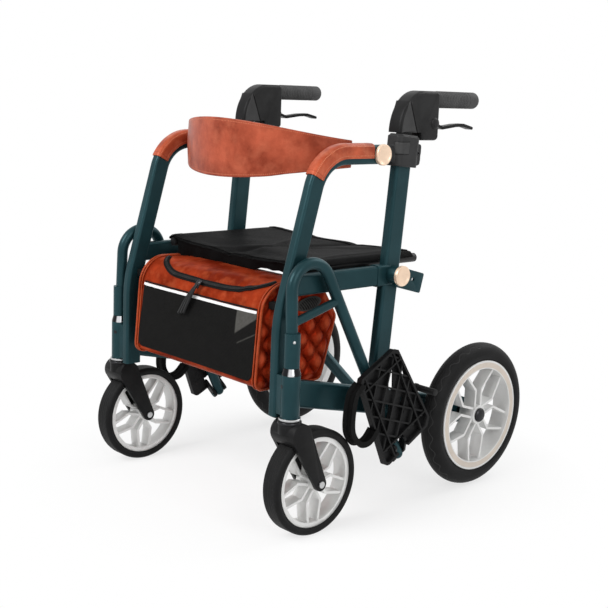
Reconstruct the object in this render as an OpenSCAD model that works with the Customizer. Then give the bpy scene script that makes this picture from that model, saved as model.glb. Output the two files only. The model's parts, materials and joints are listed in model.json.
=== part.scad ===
// Rollator that turns into a transport chair: two painted side frames on a folding cross brace,
// swivel casters in front, large wheels behind, footrests that swing forward from the sides.
// Millimetres. +Z is up, the chair drives towards -Y, +X is the left side of the person who pushes.

/* [Side frames] */
// Distance between the centre planes of the two side frames
frame_w = 470; // [450:1:500]
// Thickness of the frame tubes across the chair
tube_t = 21; // [19:0.5:23]
// Edge radius of the frame tubes, as a share of their thickness
tube_corner = 0.3; // [0.2:0.02:0.44]
// Depth of the front tube, fore and aft
front_tube_d = 36; // [32:1:40]
// Depth of the rear upright, fore and aft
upright_d = 42; // [39:1:46]
// Wall of the rear upright
upright_wall = 3; // [2:0.5:3.5]
// Height of the seat rail's section
seat_rail_h = 38; // [32:1:42]
// Height of the lower rail's section
lower_rail_h = 52; // [46:1:56]
// How much thinner the rails are than the tubes that they meet
rail_step = 1; // [0.5:0.5:2]
// Height of the armrest's centre line above the floor
arm_h = 698; // [685:1:715]
// Height of the knee where the front tube starts to lean back
knee_h = 405; // [390:1:420]
// Lean of the front tube above its knee, in degrees
front_lean = 15.5; // [14:0.5:17]
// Lean of the rear upright, in degrees
upright_lean = 4.9; // [4:0.1:6]
// Where the rear upright's line would meet the floor
upright_y = -72; // [-78:1:-66]
// Height of the seat rail's centre line
seat_rail_z = 465; // [455:1:475]
// Rear end of the armrest tube
arm_end_y = -58; // [-62:1:-56]
// Outside diameter of the head tube
head_d = 35; // [33:0.5:38]
// Bore of the head tube
head_bore = 26; // [24:0.5:28]
// Distance from the frame's centre plane out to the head tube
head_out = 36; // [34:0.5:40]
// Bottom of the head tube above the floor
head_z = 233; // [231:1:238]
// Length of the head tube
head_l = 79; // [70:1:90]

/* [Wheels] */
// Diameter of the front wheel
front_d = 203.2; // [198:0.2:206]
// Width of the front tyre
front_w = 40; // [36:1:42]
// Height of the front tyre's band of rubber
front_tyre_h = 15; // [12:0.5:18]
// Caster trail: how far the axle lies behind the swivel
trail = 57; // [50:1:62]
// Position of the front axle
front_axle_y = -257; // [-262:1:-252]
// Diameter of the rear wheel
rear_d = 304.8; // [296:0.2:310]
// Width of the rear tyre
rear_w = 45; // [41:1:46]
// Height of the rear tyre's band of rubber
rear_tyre_h = 38; // [34:0.5:42]
// Position of the rear axle
rear_axle_y = 206; // [202:1:212]
// Distance from the frame's centre plane out to the rear wheel's centre plane
rear_out = 44.5; // [43:0.5:50]
// Number of twin spokes in each wheel
spokes = 5; // [4:1:7]
// Thickness of a spoke in the plane of the wheel
spoke_t = 5; // [4:0.5:6.5]
// Diameter of the front axle bolt
front_bolt_d = 8; // [6:0.5:10]
// Diameter of the rear axle bolt
rear_bolt_d = 12; // [10:0.5:14]

/* [Handles] */
// Height of the grip above the collar
grip_rise = 71; // [66:1:76]
// Diameter of the grip
grip_d = 33; // [30:0.5:35]
// Diameter of the bar inside the grip
bar_d = 22; // [19:0.5:24]
// Rear end of the grip
grip_end_y = 203; // [195:1:215]
// Width of the brake housing
pod_w = 38; // [34:1:42]
// Rear face of the brake housing
pod_back_y = 76; // [74:1:82]
// How far the handle sits inside the frame's centre plane
handle_in = 4; // [2:0.5:5]
// Wall of the height collar, round the upright
collar_wall = 9.5; // [7:0.5:12]
// Height of the collar
collar_l = 58; // [52:1:60]
// How far the collar reaches below the armrest
collar_drop = 24; // [20:1:26]
// Lowest end of the sliding handle post
post_z = 480; // [460:1:500]
// Thickness of the brake lever's blade
lever_t = 6; // [4:0.5:7]

/* [Footrests] */
// Diameter of the footrest tube
hanger_d = 22; // [20:0.5:24]
// Radius of the bend at the top of the footrest tube
hanger_r = 48; // [44:1:52]
// Top of the thicker sleeve on the footrest's post
sleeve_z = 388; // [370:1:400]
// Inward lean of the footrest tube, in degrees
hanger_tilt = 2.9; // [2:0.1:3.5]
// Position of the footrest tube's lower end
leg_end_y = -30; // [-34:1:-26]
// Height of the footrest tube's lower end
leg_end_z = 111; // [107:1:120]
// Angle of the footrest leg from the vertical, in degrees
leg_lean = 27.5; // [26:0.5:29]
// Length of the footplate, along the leg
plate_l = 198; // [190:1:206]
// Width of the footplate at its hinge
plate_w = 150; // [142:1:154]
// Depth of the footplate's ribs
plate_t = 12; // [10:0.5:14]
// Thickness of a rib in the footplate
rib_t = 3.5; // [2.5:0.5:4.5]
// Distance between the footplate's crossing ribs
rib_pitch = 30; // [26:1:38]
// Diameter of the footplate's hinge pin
plate_pin_d = 8; // [7:0.5:9]
// Width of the heel strap
strap_w = 24; // [18:1:28]

/* [Seat and fold] */
// Diameter of the seat tubes
seat_tube_d = 18; // [16:0.5:19]
// Distance between the two seat tubes
seat_tube_gap = 408; // [396:1:410]
// Height of the seat tubes' centre lines
seat_tube_z = 486; // [484:1:490]
// Front end of the seat tubes
seat_front_y = -228; // [-235:1:-215]
// Rear end of the seat tubes
seat_rear_y = 75; // [65:1:80]
// Thickness of the padded seat cloth
seat_pad_t = 7; // [5:0.5:8]
// Sag of the seat cloth in the middle
seat_sag = 8; // [4:1:14]
// Height of the brace's lower hinges
brace_z = 236; // [232:1:242]
// Distance between the brace's lower hinges
brace_gap = 418; // [412:1:422]
// Width of a brace bar
brace_w = 20; // [16:0.5:21]
// Thickness of a brace bar, fore and aft
brace_t = 11; // [9:0.5:12]
// Middle of the cross brace, fore and aft
brace_y = -94; // [-100:1:-90]
// Diameter of the brace's hinge pins
brace_pin_d = 8; // [7:0.5:9]
// Diameter of the brace's middle pivot
pivot_d = 10; // [8:0.5:11]

/* [Soft parts] */
// Thickness of the armrest's leather sleeve
pad_t = 4; // [3:0.5:4.5]
// Front end of the armrest's sleeve, in degrees into the armrest's bend
pad_turn = 12; // [6:1:24]
// Rear end of the armrest's sleeve
pad_end_y = -102; // [-112:1:-101]
// Thickness of the backrest band
band_t = 8; // [7:1:14]
// How far the backrest bows forward of its ends
band_bow = 147; // [135:1:155]
// Ends of the backrest band, fore and aft
band_end_y = -140; // [-150:1:-132]
// Top of the band in the middle, above the armrest
band_rise = 57; // [50:1:64]
// Height of the band in the middle
band_h = 112; // [104:1:120]
// How much lower the band's top is at its ends
band_top_drop = 32; // [24:1:36]
// How much higher the band's bottom is at its ends
band_low_rise = 28; // [22:1:32]
// Width of the bag
bag_w = 400; // [380:2:410]
// Top of the bag
bag_top_z = 470; // [460:1:472]
// Bottom of the bag
bag_low_z = 257; // [252:1:275]
// Front of the bag at its bottom edge
bag_front_y = -337; // [-339:1:-328]
// How much further back the bag's front is at its top
bag_rake = 9; // [6:1:16]
// Back of the bag at its fullest
bag_back_y = -130; // [-142:1:-126]
// Radius over the bag's upper front edge
bag_r = 36; // [28:1:44]
// How far the bag's side panels are drawn in at their edges
bag_edge = 6; // [3:1:9]

/* [Clearances] */
// Radial clearance of shafts that turn
run_gap = 0.05; // [0.03:0.01:0.08]
// Clearance between pieces that pass each other
pass_gap = 0.4; // [0.3:0.05:0.5]
// Clearance of the sliding handle post, each side
slide_gap = 0.2; // [0.15:0.05:0.3]

/* [Hidden] */
$fn = 96;
weld = 0.04;
weld_l = 0.6;
fx = frame_w / 2;
tube_out = fx + tube_t / 2;
tube_in = fx - tube_t / 2;
rail_t = tube_t - rail_step;
rail_out = fx + rail_t / 2;
rail_in = fx - rail_t / 2;
head_x = fx + head_out;
head_y = front_axle_y - trail;
head_top = head_z + head_l;
head_mid = head_z + head_l / 2;
head_r = head_bore / 2;
front_r = front_d / 2;
rear_r = rear_d / 2;
rear_x = fx + rear_out;
handle_x = fx - handle_in;

// Front tube and armrest, as a path in the side view
foot_y = head_y + 5;
foot_z = head_z - 5;
knee_r = 250;
arm_bend_r = 78;
arm_corner_y = foot_y + (arm_h - knee_h) * tan(front_lean);
front_path = [[foot_y, foot_z], [foot_y, knee_h], [arm_corner_y, arm_h], [arm_end_y, arm_h]];
front_radii = [0, knee_r, arm_bend_r, 0];
arm_set = arm_bend_r * tan(45 - front_lean / 2);
pad_path = [[arm_corner_y, arm_h] - (arm_set + 2) * [sin(front_lean), cos(front_lean)],
            [arm_corner_y, arm_h], [pad_end_y, arm_h]];
pad_radii = [0, arm_bend_r, 0];
pad_fit = 0.3;

// Lower rail, from the front tube down to the rear axle
rail_drop = 13.07;
function rail_z(y) = rear_r + (rear_axle_y - y) * tan(rail_drop);
axle_boss_r = lower_rail_h / 2 + 2;
boss_in = rail_in - 0.5;
boss_out = rail_out + 0.5;

// Rear upright
function upright_at(z) = upright_y + z * tan(upright_lean);
upright_foot_z = rail_z(upright_at(rear_r));
collar_z = arm_h - collar_drop;
upright_top_z = collar_z + 26;
post_d = upright_d - 2 * upright_wall;
post_t = tube_t - 2 * upright_wall;
collar_top = collar_z + collar_l;
grip_h = collar_top + grip_rise;
pod_low_z = collar_top + 7;
neck_z = collar_top + 3.4;
lobe_z = collar_z + 23;
lobe_w = 20;
lobe_d = 26;
lobe_l = 42;

// Boss and bolted joint at the rear of the seat rail
boss_l = 20;
joint_z = seat_rail_z + 2;
joint_y = upright_at(joint_z) - 3;
bush_r = 17;
bush_l = 24;
cap_r = 20;
cap_t = 8;
arm_cap_y = arm_end_y - 22;
bracket_t = 5;
bracket_l = 76;
bracket_h = 40;
bracket_drop = 15;

// Brake on the rear tyre
shoe_y = rear_axle_y - (rear_r + 14.5) * cos(26);
shoe_z = rear_r + (rear_r + 14.5) * sin(26);
shoe_r = 7;
brake_y = shoe_y - 31;
brake_z = shoe_z - 21;
brake_pin_r = 4;
brake_arm_t = 6;
brake_x = rail_out + pass_gap;

// Brake housing, grip and lever
post_top_z = grip_h - 8;
pod_top_z = grip_h + 16;
pod_front_r = 100;
shell_t = 4;
pod_front_y = pod_back_y - 10;
seam_lean = 21.7;
seam_gap = 0.6;
seam_z = pod_low_z + 31;
lever_y = pod_back_y - 4;
lever_z = grip_h - 46;
lever_w = 16;
lever_boss_r = 9;
lever_pin_r = 3;
lever_path = [[lever_y, lever_z], [lever_y + 28, lever_z - 9], [lever_y + 68, lever_z - 4],
              [lever_y + 93, lever_z - 3], [lever_y + 120, lever_z - 9]];

// Footrest
ring_h = 13;
tilt_z = head_top + 18;
leg_up = [-sin(leg_lean), cos(leg_lean)];
hanger_top_z = leg_end_z + (leg_end_y - head_y) / tan(leg_lean);
hanger_path = [[head_y, sleeve_z - 45], [head_y, hanger_top_z], [leg_end_y, leg_end_z]];
hanger_radii = [0, hanger_r, 0];
hanger_tube_r = hanger_d / 2;
bar_foot = [head_y, sleeve_z + 16];
bar_head = [leg_end_y, leg_end_z] + 365 * leg_up;
hanger_bar_d = 16;
plate_gap = 2.5;
plate_x = hanger_tube_r + plate_gap;
plate_low = 15;
plate_front = -58;
plate_mid = plate_front + plate_w / 2;
plate_taper = 18;
plate_r = 14;
plate_border = 5;
plate_cut = [6, 15];
plate_top_cut = [6, 9];
web_t = 2.5;
web_rise = 0.8;
web_slots = [[[30, 145], [45, 174]], [[64, 138], [71, 156]], [[-4, 98], [6, 118]], [[36, 82], [47, 104]]];
slot_d = 11;
notch_w = 2 * hanger_tube_r + 8;
notch_h = 26;
ear_t = 6;
ear_r = 8;
plug_r = hanger_tube_r + 0.4;
ear_v = plug_r + 0.5;
plate_rail_v = 43;
plate_rail_u = [33, 170];
rib_drop = 2.5;
web_hole = [-34, 197];
strap_path = [[plate_edge(204) + 4, 204], [plate_front - 4, 197], [plate_front - 26, 173], [plate_front - 42, 147],
              [plate_front - 45.5, 128], [plate_front - 40, 108], [plate_front - 26, 97], [plate_front - 10, 95],
              [plate_edge(102) + 4, 102]];
strap_t = 2.5;

// Caster fork
fork_gap = 3;
fork_leg_t = 8;
fork_half = front_w / 2 + fork_gap + fork_leg_t;
fork_top_y = head_y + 5;
fork_top_z = head_z - 30;
fork_top_r = 23;
fork_low_r = 13;
crown_r = 21;
crown_top = head_z - 4;

// Wheels
front_rim_r = front_r - front_tyre_h;
front_rim_t = 9;
front_hub_r = 15;
rear_rim_r = rear_r - rear_tyre_h;
rear_rim_t = 14;
rear_hub_r = 20;
rear_hub_l = 37;
hub_cap_r = 15;

// Seat and cross brace
seat_tube_x = seat_tube_gap / 2;
seat_tube_r = seat_tube_d / 2;
brace_x = brace_gap / 2;
brace_step = (brace_t + 1) / 2;
brace_a_y = brace_y - brace_step;
brace_b_y = brace_y + brace_step;
ear_brace_t = 4;
seat_in_r = seat_tube_r + pass_gap;
seat_out_r = seat_in_r + seat_pad_t;
seat_margin = 14;
sag_r = (seat_tube_x * seat_tube_x + seat_sag * seat_sag) / (2 * seat_sag);
saddle_l = 18;
saddle_y = [-150, upright_at(seat_tube_z) - 40];

// Backrest band, a round arc in plan
band_top_z = arm_h + band_rise;
band_low_z = band_top_z - band_h;
band_half = tube_in - pad_t - pass_gap;
band_r = (band_half * band_half + band_bow * band_bow) / (2 * band_bow);
band_y = band_end_y - band_bow + band_r;
band_top_r = (band_half * band_half + band_top_drop * band_top_drop) / (2 * band_top_drop);
band_low_r = (band_half * band_half + band_low_rise * band_low_rise) / (2 * band_low_rise);

TEAL = "#2b4246";
BLACK = "#2b2b2b";
LEATHER = "#9c3d22";
COPPER = "#f0c9a4";
STEEL = "#c9ccce";
RIM = "#dcdcda";
RUBBER = "#1f1f1f";
SIDES = ["left", "right"];

// General shapes

// Section of a flat-sided tube with round edges, d deep and t thick
module flat_oval(d, t) { round_rect(d, t, tube_corner * t); }

// Rectangle with round corners, centred
module round_rect(w, h, r) {
    square([w - 2 * r, h], center = true);
    square([w, h - 2 * r], center = true);
    for (i = [-1, 1], j = [-1, 1])
        translate([i * (w / 2 - r), j * (h / 2 - r)]) circle(r);
}

// Strip of constant width along a list of points, with round ends and joints
module stroke(points, w) {
    for (p = points) translate(p) circle(d = w - weld);
    for (i = [0 : len(points) - 2]) {
        step = points[i + 1] - points[i];
        translate(points[i]) rotate(atan2(step[1], step[0]))
            translate([0, -w / 2]) square([norm(step), w]);
    }
}

// Outline round two circles, with straight sides that touch both
module taper(a, ra, b, rb) {
    h = atan2(b[1] - a[1], b[0] - a[0]);
    k = acos((ra - rb) / norm(b - a));
    translate(a) circle(ra - weld / 2);
    translate(b) circle(rb - weld / 2);
    polygon([a + ra * [cos(h + k), sin(h + k)], a + ra * [cos(h - k), sin(h - k)],
             b + rb * [cos(h - k), sin(h - k)], b + rb * [cos(h + k), sin(h + k)]]);
}

function heading(a, b) = atan2(b[1] - a[1], b[0] - a[0]);
function turn(from, to) = let (d = to - from) d > 180 ? d - 360 : d < -180 ? d + 360 : d;
function setback(angle, r) = r * tan(abs(angle) / 2);

// Straight run of a section in the drawing plane
module run(a, b) {
    translate(a) rotate(heading(a, b)) rotate([90, 0, 90]) linear_extrude(norm(b - a)) children();
}

// Round bend of a section that leaves point a with heading h and turns by angle
module bend(a, h, angle, r) {
    side = angle > 0 ? 1 : -1;
    translate(a + side * r * [-sin(h), cos(h)]) rotate(h - 90 * side + min(angle, 0))
        rotate_extrude(angle = abs(angle)) translate([r, 0]) children();
}

// Tube along straight runs and round bends in the drawing plane. The first child is the runs' section,
// the second the bends', which is larger by weld so that each run ends inside the bend.
module bent_tube(path, radii) {
    last = len(path) - 2;
    for (i = [0 : last]) {
        h = heading(path[i], path[i + 1]);
        u = [cos(h), sin(h)];
        next = i < last ? turn(h, heading(path[i + 1], path[i + 2])) : 0;
        back = i > 0 ? setback(turn(heading(path[i - 1], path[i]), h), radii[i]) - weld_l : 0;
        stop = path[i + 1] - setback(next, radii[i + 1]) * u;
        run(path[i] + back * u, i < last ? stop + weld_l * u : stop) children(0);
        if (i < last) bend(stop, h, next, radii[i + 1]) children(1);
    }
}

// Turns the drawing plane into the side view: drawn x is fore and aft, drawn y is up
module side_view() { rotate([90, 0, 90]) children(); }

// Turns the drawing plane into the front view, thickened along Y about the given place
module front_slab(y, t) { translate([0, y + t / 2, 0]) rotate([90, 0, 0]) linear_extrude(t) children(); }

// Side-view outline thickened across the chair from x0 to x1
module side_slab(x0, x1) { translate([x0, 0, 0]) side_view() linear_extrude(x1 - x0) children(); }

// Round bar across the chair
module cross_bar(x0, x1, y, z, r) { side_slab(x0, x1) translate([y, z]) circle(r); }

// Pieces are drawn for the left side and mirrored for the right
module on_side(side) {
    if (side == "left") children();
    else mirror([1, 0, 0]) children();
}

// Solids that neighbours are cut from

module front_tube_solid() {
    translate([fx, 0, 0]) side_view() bent_tube(front_path, front_radii) {
        flat_oval(front_tube_d, tube_t);
        flat_oval(front_tube_d + weld, tube_t + weld);
    }
}

// Straight foot of the front tube
module front_foot_solid() {
    translate([fx, 0, 0]) side_view() run(front_path[0], front_path[1]) flat_oval(front_tube_d, tube_t);
}

module upright_solid() {
    translate([fx, 0, 0]) side_view()
        run([upright_at(upright_foot_z), upright_foot_z], [upright_at(upright_top_z), upright_top_z])
            flat_oval(upright_d, tube_t);
}

// Handle post, grown on every side by grow
module post_solid(grow, z0, z1) {
    translate([fx, 0, 0]) side_view() run([upright_at(z0), z0], [upright_at(z1), z1])
        flat_oval(post_d - 2 * slide_gap + 2 * grow, post_t - 2 * slide_gap + 2 * grow);
}

module lower_rail_solid() {
    rail_end = rear_axle_y - 14;
    translate([fx, 0, 0]) side_view() run([foot_y, rail_z(foot_y)], [rail_end, rail_z(rail_end)])
        round_rect(lower_rail_h, rail_t, 6);
    cross_bar(boss_in, boss_out, rear_axle_y, rear_r, axle_boss_r);
}

// Seat rail with the thicker boss that meets the upright
module seat_rail_solid() {
    front = [foot_y + (seat_rail_z - knee_h) * tan(front_lean), seat_rail_z];
    back = [upright_at(seat_rail_z), seat_rail_z];
    boss = back - [upright_d / 2 + boss_l, 0];
    translate([fx, 0, 0]) side_view() {
        run(front, back) round_rect(seat_rail_h, rail_t, 5);
        run(boss, back) round_rect(seat_rail_h + 4, tube_t + 2, 5);
    }
}

// Side frame

module front_tube(side) { color(TEAL) on_side(side) front_tube_solid(); }

module upright(side) {
    color(TEAL) on_side(side) difference() {
        upright_solid();
        post_solid(slide_gap, post_z - 40, upright_top_z + 1);
        lower_rail_solid();
    }
}

module seat_rail(side) {
    color(TEAL) on_side(side) difference() {
        seat_rail_solid();
        front_tube_solid();
        upright_solid();
    }
}

// Lower rail with its axle boss, the brace's hinge ears and the brake's pivot
module lower_rail(side) {
    bar_y = side == "left" ? brace_b_y : brace_a_y;
    ear_y = brace_t / 2 + pass_gap;
    pin_l = brace_t + 2 * (pass_gap + ear_brace_t);
    color(TEAL) on_side(side) difference() {
        union() {
            difference() {
                lower_rail_solid();
                front_foot_solid();
            }
            for (s = [-1, 1])
                front_slab(bar_y + s * (ear_y + ear_brace_t / 2), ear_brace_t)
                    stroke([[brace_x, brace_z], [rail_in + 4, brace_z]], 16);
            front_slab(bar_y, pin_l) translate([brace_x, brace_z]) circle(d = brace_pin_d);
            cross_bar(rail_out - 4, brake_x + brake_arm_t + 1, brake_y, brake_z, brake_pin_r);
        }
        cross_bar(boss_in - 1, boss_out + 1, rear_axle_y, rear_r, rear_bolt_d / 2);
    }
}

module head_tube(side) {
    color(TEAL) on_side(side) difference() {
        union() {
            translate([head_x, head_y, head_z]) cylinder(h = head_l, d = head_d);
            translate([tube_out - 6, head_y - 11, head_z + 3]) cube([head_out - tube_t / 2, 24, head_l - 6]);
        }
        translate([head_x, head_y, head_z - 1]) cylinder(h = head_l + 2, r = head_r);
        front_foot_solid();
    }
}

// Chrome ring that closes the head tube under the footrest's sleeve
module head_ring(side) {
    color(STEEL) on_side(side) translate([head_x, head_y, head_top]) rotate_extrude()
        polygon([[head_r, 0], [head_d / 2, 0], [head_d / 2, 2], [head_d / 2 - 3, ring_h], [head_r, ring_h]]);
}

module arm_pad(side) {
    color(LEATHER) on_side(side) translate([fx, 0, 0]) side_view() difference() {
        bent_tube(pad_path, pad_radii) {
            flat_oval(front_tube_d + 2 * pad_t, tube_t + 2 * pad_t);
            flat_oval(front_tube_d + 2 * pad_t + weld, tube_t + 2 * pad_t + weld);
        }
        bent_tube(front_path, front_radii) {
            flat_oval(front_tube_d + pad_fit, tube_t + pad_fit);
            flat_oval(front_tube_d + pad_fit + weld, tube_t + pad_fit + weld);
        }
        translate([arm_corner_y + arm_set, arm_h - arm_bend_r]) rotate(180 - front_lean - pad_turn)
            translate([0, 0, -60]) cube([200, 200, 120]);
    }
}

// Dished copper cap, its back on the plane x
module cap(x, y, z) {
    translate([x, y, z]) rotate([0, 90, 0]) rotate_extrude()
        polygon([[0, 0], [cap_r - 1.5, 0], [cap_r, 1.5], [cap_r, cap_t - 2],
                 [cap_r - 2, cap_t], [cap_r - 4, cap_t - 1], [0, cap_t - 2]]);
}

module caps(side) {
    color(COPPER) on_side(side) {
        cap(tube_out, arm_cap_y, arm_h);
        cap(tube_out + bush_l, joint_y, joint_z);
    }
}

// Bush on the upright that carries the copper cap, and the flat bracket behind it
module rear_bracket(side) {
    plate_at = tube_out + bush_l / 2;
    color(TEAL) on_side(side) difference() {
        union() {
            cross_bar(tube_out, tube_out + bush_l, joint_y, joint_z, bush_r);
            side_slab(plate_at, plate_at + bracket_t) translate([joint_y, joint_z]) rotate(-bracket_drop)
                translate([bracket_l / 2, -3]) round_rect(bracket_l, bracket_h, 4);
        }
        side_slab(plate_at - 1, plate_at + bracket_t + 1) translate([joint_y, joint_z])
            rotate(-bracket_drop) translate([bracket_l * 0.62, 0]) circle(4);
        seat_rail_solid();
    }
}

// Collar on top of the upright, with the lug that carries the armrest
module collar(side) {
    mid = [upright_at(collar_z), collar_z];
    top = [upright_at(collar_top), collar_top];
    color(BLACK) on_side(side) difference() {
        union() {
            translate([fx, 0, 0]) side_view() run(mid, top)
                round_rect(upright_d + 2 * collar_wall, tube_t + 2 * collar_wall, 12);
            translate([fx, 0, 0]) side_view()
                run([upright_at(collar_top - 3), collar_top - 3], [upright_at(neck_z), neck_z])
                    round_rect(upright_d + 2 * collar_wall - 7, tube_t + 2 * collar_wall - 7, 9);
            side_slab(fx - lobe_w / 2, fx + lobe_w / 2)
                translate([upright_at(lobe_z) + upright_d / 2 + collar_wall + 1, lobe_z]) rotate(-upright_lean)
                    round_rect(lobe_d, lobe_l, 7);
            translate([fx, 0, 0]) side_view() run([arm_end_y, arm_h], [upright_at(arm_h), arm_h])
                flat_oval(front_tube_d - 4, tube_t - 2);
        }
        upright_solid();
        post_solid(slide_gap, collar_z, neck_z + 1);
    }
}

// Blocks on the seat rail that the seat tube rests in
module saddles(side) {
    low = seat_rail_z - 3;
    in_x = seat_tube_x - seat_tube_r - 4;
    color(BLACK) on_side(side) difference() {
        for (y = saddle_y) front_slab(y, saddle_l) difference() {
            translate([in_x, low]) square([rail_in - in_x, seat_tube_z - 4 - low]);
            translate([seat_tube_x, seat_tube_z]) circle(seat_tube_r + pass_gap);
        }
        seat_rail_solid();
    }
}

module rear_axle(side) {
    cap_x = rear_x + rear_hub_l / 2 + pass_gap;
    color(STEEL) on_side(side) {
        cross_bar(boss_in - 3, cap_x + 1, rear_axle_y, rear_r, rear_bolt_d / 2);
        cross_bar(boss_in - 8, boss_in, rear_axle_y, rear_r, rear_bolt_d / 2 + 4);
        cross_bar(boss_out, rear_x - rear_hub_l / 2 - pass_gap, rear_axle_y, rear_r, rear_bolt_d / 2 + 4);
        translate([cap_x, rear_axle_y, rear_r]) rotate([0, 90, 0]) rotate_extrude()
            polygon([[0, 0], [hub_cap_r, 0], [hub_cap_r, 3], [hub_cap_r - 4, 6.5], [0, 7.5]]);
    }
}

// Footrest: a hairpin tube that turns in the head tube

module hanger_plane() {
    translate([head_x, 0, tilt_z]) rotate([0, -hanger_tilt, 0]) translate([0, 0, -tilt_z])
        side_view() children();
}

// Frame of the footplate: drawn x across the plate, drawn y up the leg, z outward
module plate_frame() { hanger_plane() translate([leg_end_y, leg_end_z]) rotate(leg_lean) children(); }

module hanger(side) {
    color(TEAL) on_side(side) {
        translate([head_x, head_y, head_mid + 1]) cylinder(h = tilt_z - head_mid, r = head_r - run_gap);
        translate([head_x, head_y, head_top + ring_h + pass_gap])
            cylinder(h = sleeve_z - head_top - ring_h - pass_gap, r = head_r + 1.5);
        hanger_plane() {
            bent_tube(hanger_path, hanger_radii) {
                circle(hanger_tube_r);
                circle(hanger_tube_r + weld / 2);
            }
            run(bar_foot, bar_head) circle(d = hanger_bar_d);
            translate([leg_end_y, leg_end_z]) sphere(plug_r);
        }
        plate_frame() translate([-ear_v - ear_t - 1.4, 0, 0]) rotate([0, 90, 0])
            cylinder(h = 2 * (ear_v + ear_t + 1.4), d = plate_pin_d);
    }
}

// Half width of the footplate at a height up the leg, and its front edge there
function plate_half(u) = plate_w / 2 - plate_taper * (u - plate_low) / plate_l;
function plate_edge(u) = plate_mid - plate_half(u);

module plate_outline(inset) {
    top = plate_low + plate_l;
    low_half = plate_half(plate_low) - inset;
    top_half = plate_half(top) - inset;
    past = plate_w / 2 + 5;
    difference() {
        translate([plate_mid, plate_low + plate_l / 2])
            round_rect(plate_w - 2 * inset, plate_l - 2 * inset, plate_r - inset / 2);
        if (inset == 0) translate([-notch_w / 2, plate_low - 1]) square([notch_w, notch_h + 1]);
        for (s = [-1, 1]) translate([plate_mid, 0])
            polygon([[s * low_half, plate_low - 1], [s * top_half, top + 1], [s * past, top + 1], [s * past, plate_low - 1]]);
        for (k = [0, 1]) {
            translate([plate_mid + (2 * k - 1) * low_half, plate_low + inset]) rotate(45)
                square(plate_cut[k] * sqrt(2), center = true);
            translate([plate_mid + (2 * k - 1) * top_half, top - inset]) rotate(45)
                square(plate_top_cut[k] * sqrt(2), center = true);
        }
    }
}

// Border of the footplate and its four rails
module plate_rails() {
    difference() {
        plate_outline(0);
        plate_outline(plate_border);
    }
    intersection() {
        plate_outline(0);
        union() {
            for (s = [-1, 1]) translate([plate_mid + s * plate_rail_v, plate_low + plate_l / 2])
                square([rib_t, plate_l], center = true);
            for (u = plate_rail_u) translate([plate_mid, plate_low + u]) square([plate_w, rib_t], center = true);
        }
    }
}

// Crossing ribs, a little lower than the rails
module plate_ribs() {
    reach = (plate_l + plate_w) / 2;
    count = floor(reach / rib_pitch / sqrt(2));
    intersection() {
        plate_outline(1.5);
        translate([-notch_w / 2 - 100, plate_low + notch_h + 1.5]) square([400, plate_l]);
        union() for (a = [45, -45], i = [-count : count])
            translate([plate_mid, plate_low + plate_l / 2]) rotate(a)
                translate([i * rib_pitch, 0]) square([rib_t, 2 * reach], center = true);
    }
}

// Thin web behind the ribs, with drain slots
module plate_web() {
    difference() {
        plate_outline(2);
        translate([-notch_w / 2 - 2, plate_low - 1]) square([notch_w + 4, notch_h + 3]);
        for (p = web_slots) stroke(p, slot_d);
        translate(web_hole) circle(3.5);
    }
}

module footplate(side) {
    color(BLACK) on_side(side) plate_frame() {
        translate([0, 0, plate_x]) linear_extrude(plate_t) plate_rails();
        translate([0, 0, plate_x + web_rise / 2]) linear_extrude(plate_t - rib_drop) plate_ribs();
        translate([0, 0, plate_x + web_rise]) linear_extrude(web_t) plate_web();
        for (s = [-1, 1]) translate([s * (ear_v + ear_t / 2) - ear_t / 2, 0, 0]) rotate([90, 0, 90])
            linear_extrude(ear_t) difference() {
                taper([0, 0], ear_r, [plate_low + 14, plate_x + 2], 7);
                circle(plate_pin_d / 2 + run_gap);
                translate([-50, plate_x + plate_t]) square([100, 50]);
            }
    }
}

module heel_strap(side) {
    color(BLACK) on_side(side) plate_frame()
        translate([0, 0, plate_x + (plate_t - strap_w) / 2]) linear_extrude(strap_w) difference() {
            stroke(strap_path, strap_t);
            plate_outline(0);
        }
}

// Casters

module fork(side) {
    axle = [front_axle_y, front_r];
    top = [fork_top_y, fork_top_z];
    color(BLACK) on_side(side) difference() {
        union() {
            side_slab(head_x - fork_half, head_x + fork_half) taper(top, fork_top_r, axle, fork_low_r);
            translate([head_x, head_y, fork_top_z]) cylinder(h = crown_top - fork_top_z, r = crown_r);
            translate([head_x, head_y, crown_top - 1])
                cylinder(h = head_z - crown_top + 1 - pass_gap, r = head_r + 2);
            translate([head_x, head_y, crown_top]) cylinder(h = head_mid - 1 - crown_top, r = head_r - run_gap);
        }
        cross_bar(head_x - front_w / 2 - fork_gap, head_x + front_w / 2 + fork_gap,
                  axle[0], axle[1], front_r + 4);
        cross_bar(head_x - fork_half - 1, head_x + fork_half + 1, axle[0], axle[1], front_bolt_d / 2);
    }
}

module front_axle(side) {
    color(STEEL) on_side(side) {
        cross_bar(head_x - fork_half - 3, head_x + fork_half + 3, front_axle_y, front_r, front_bolt_d / 2);
        for (s = [-1, 1]) {
            near = head_x + s * fork_half;
            cross_bar(min(near, near + 3 * s), max(near, near + 3 * s), front_axle_y, front_r,
                      front_bolt_d / 2 + 2.5);
        }
    }
}

// Wheels, drawn about the X axis at the origin

// Twin spokes that part near the hub and run on to the rim
module spoke_pattern(hub_r, rim_r, spread) {
    knee = hub_r + 0.36 * (rim_r - hub_r);
    for (i = [0 : spokes - 1], s = [-1, 1]) rotate(i * 360 / spokes)
        stroke([[hub_r - 4, 0], [knee, s * spread], [rim_r + spoke_t / 2, 0.72 * s * spread]], spoke_t);
}

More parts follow.
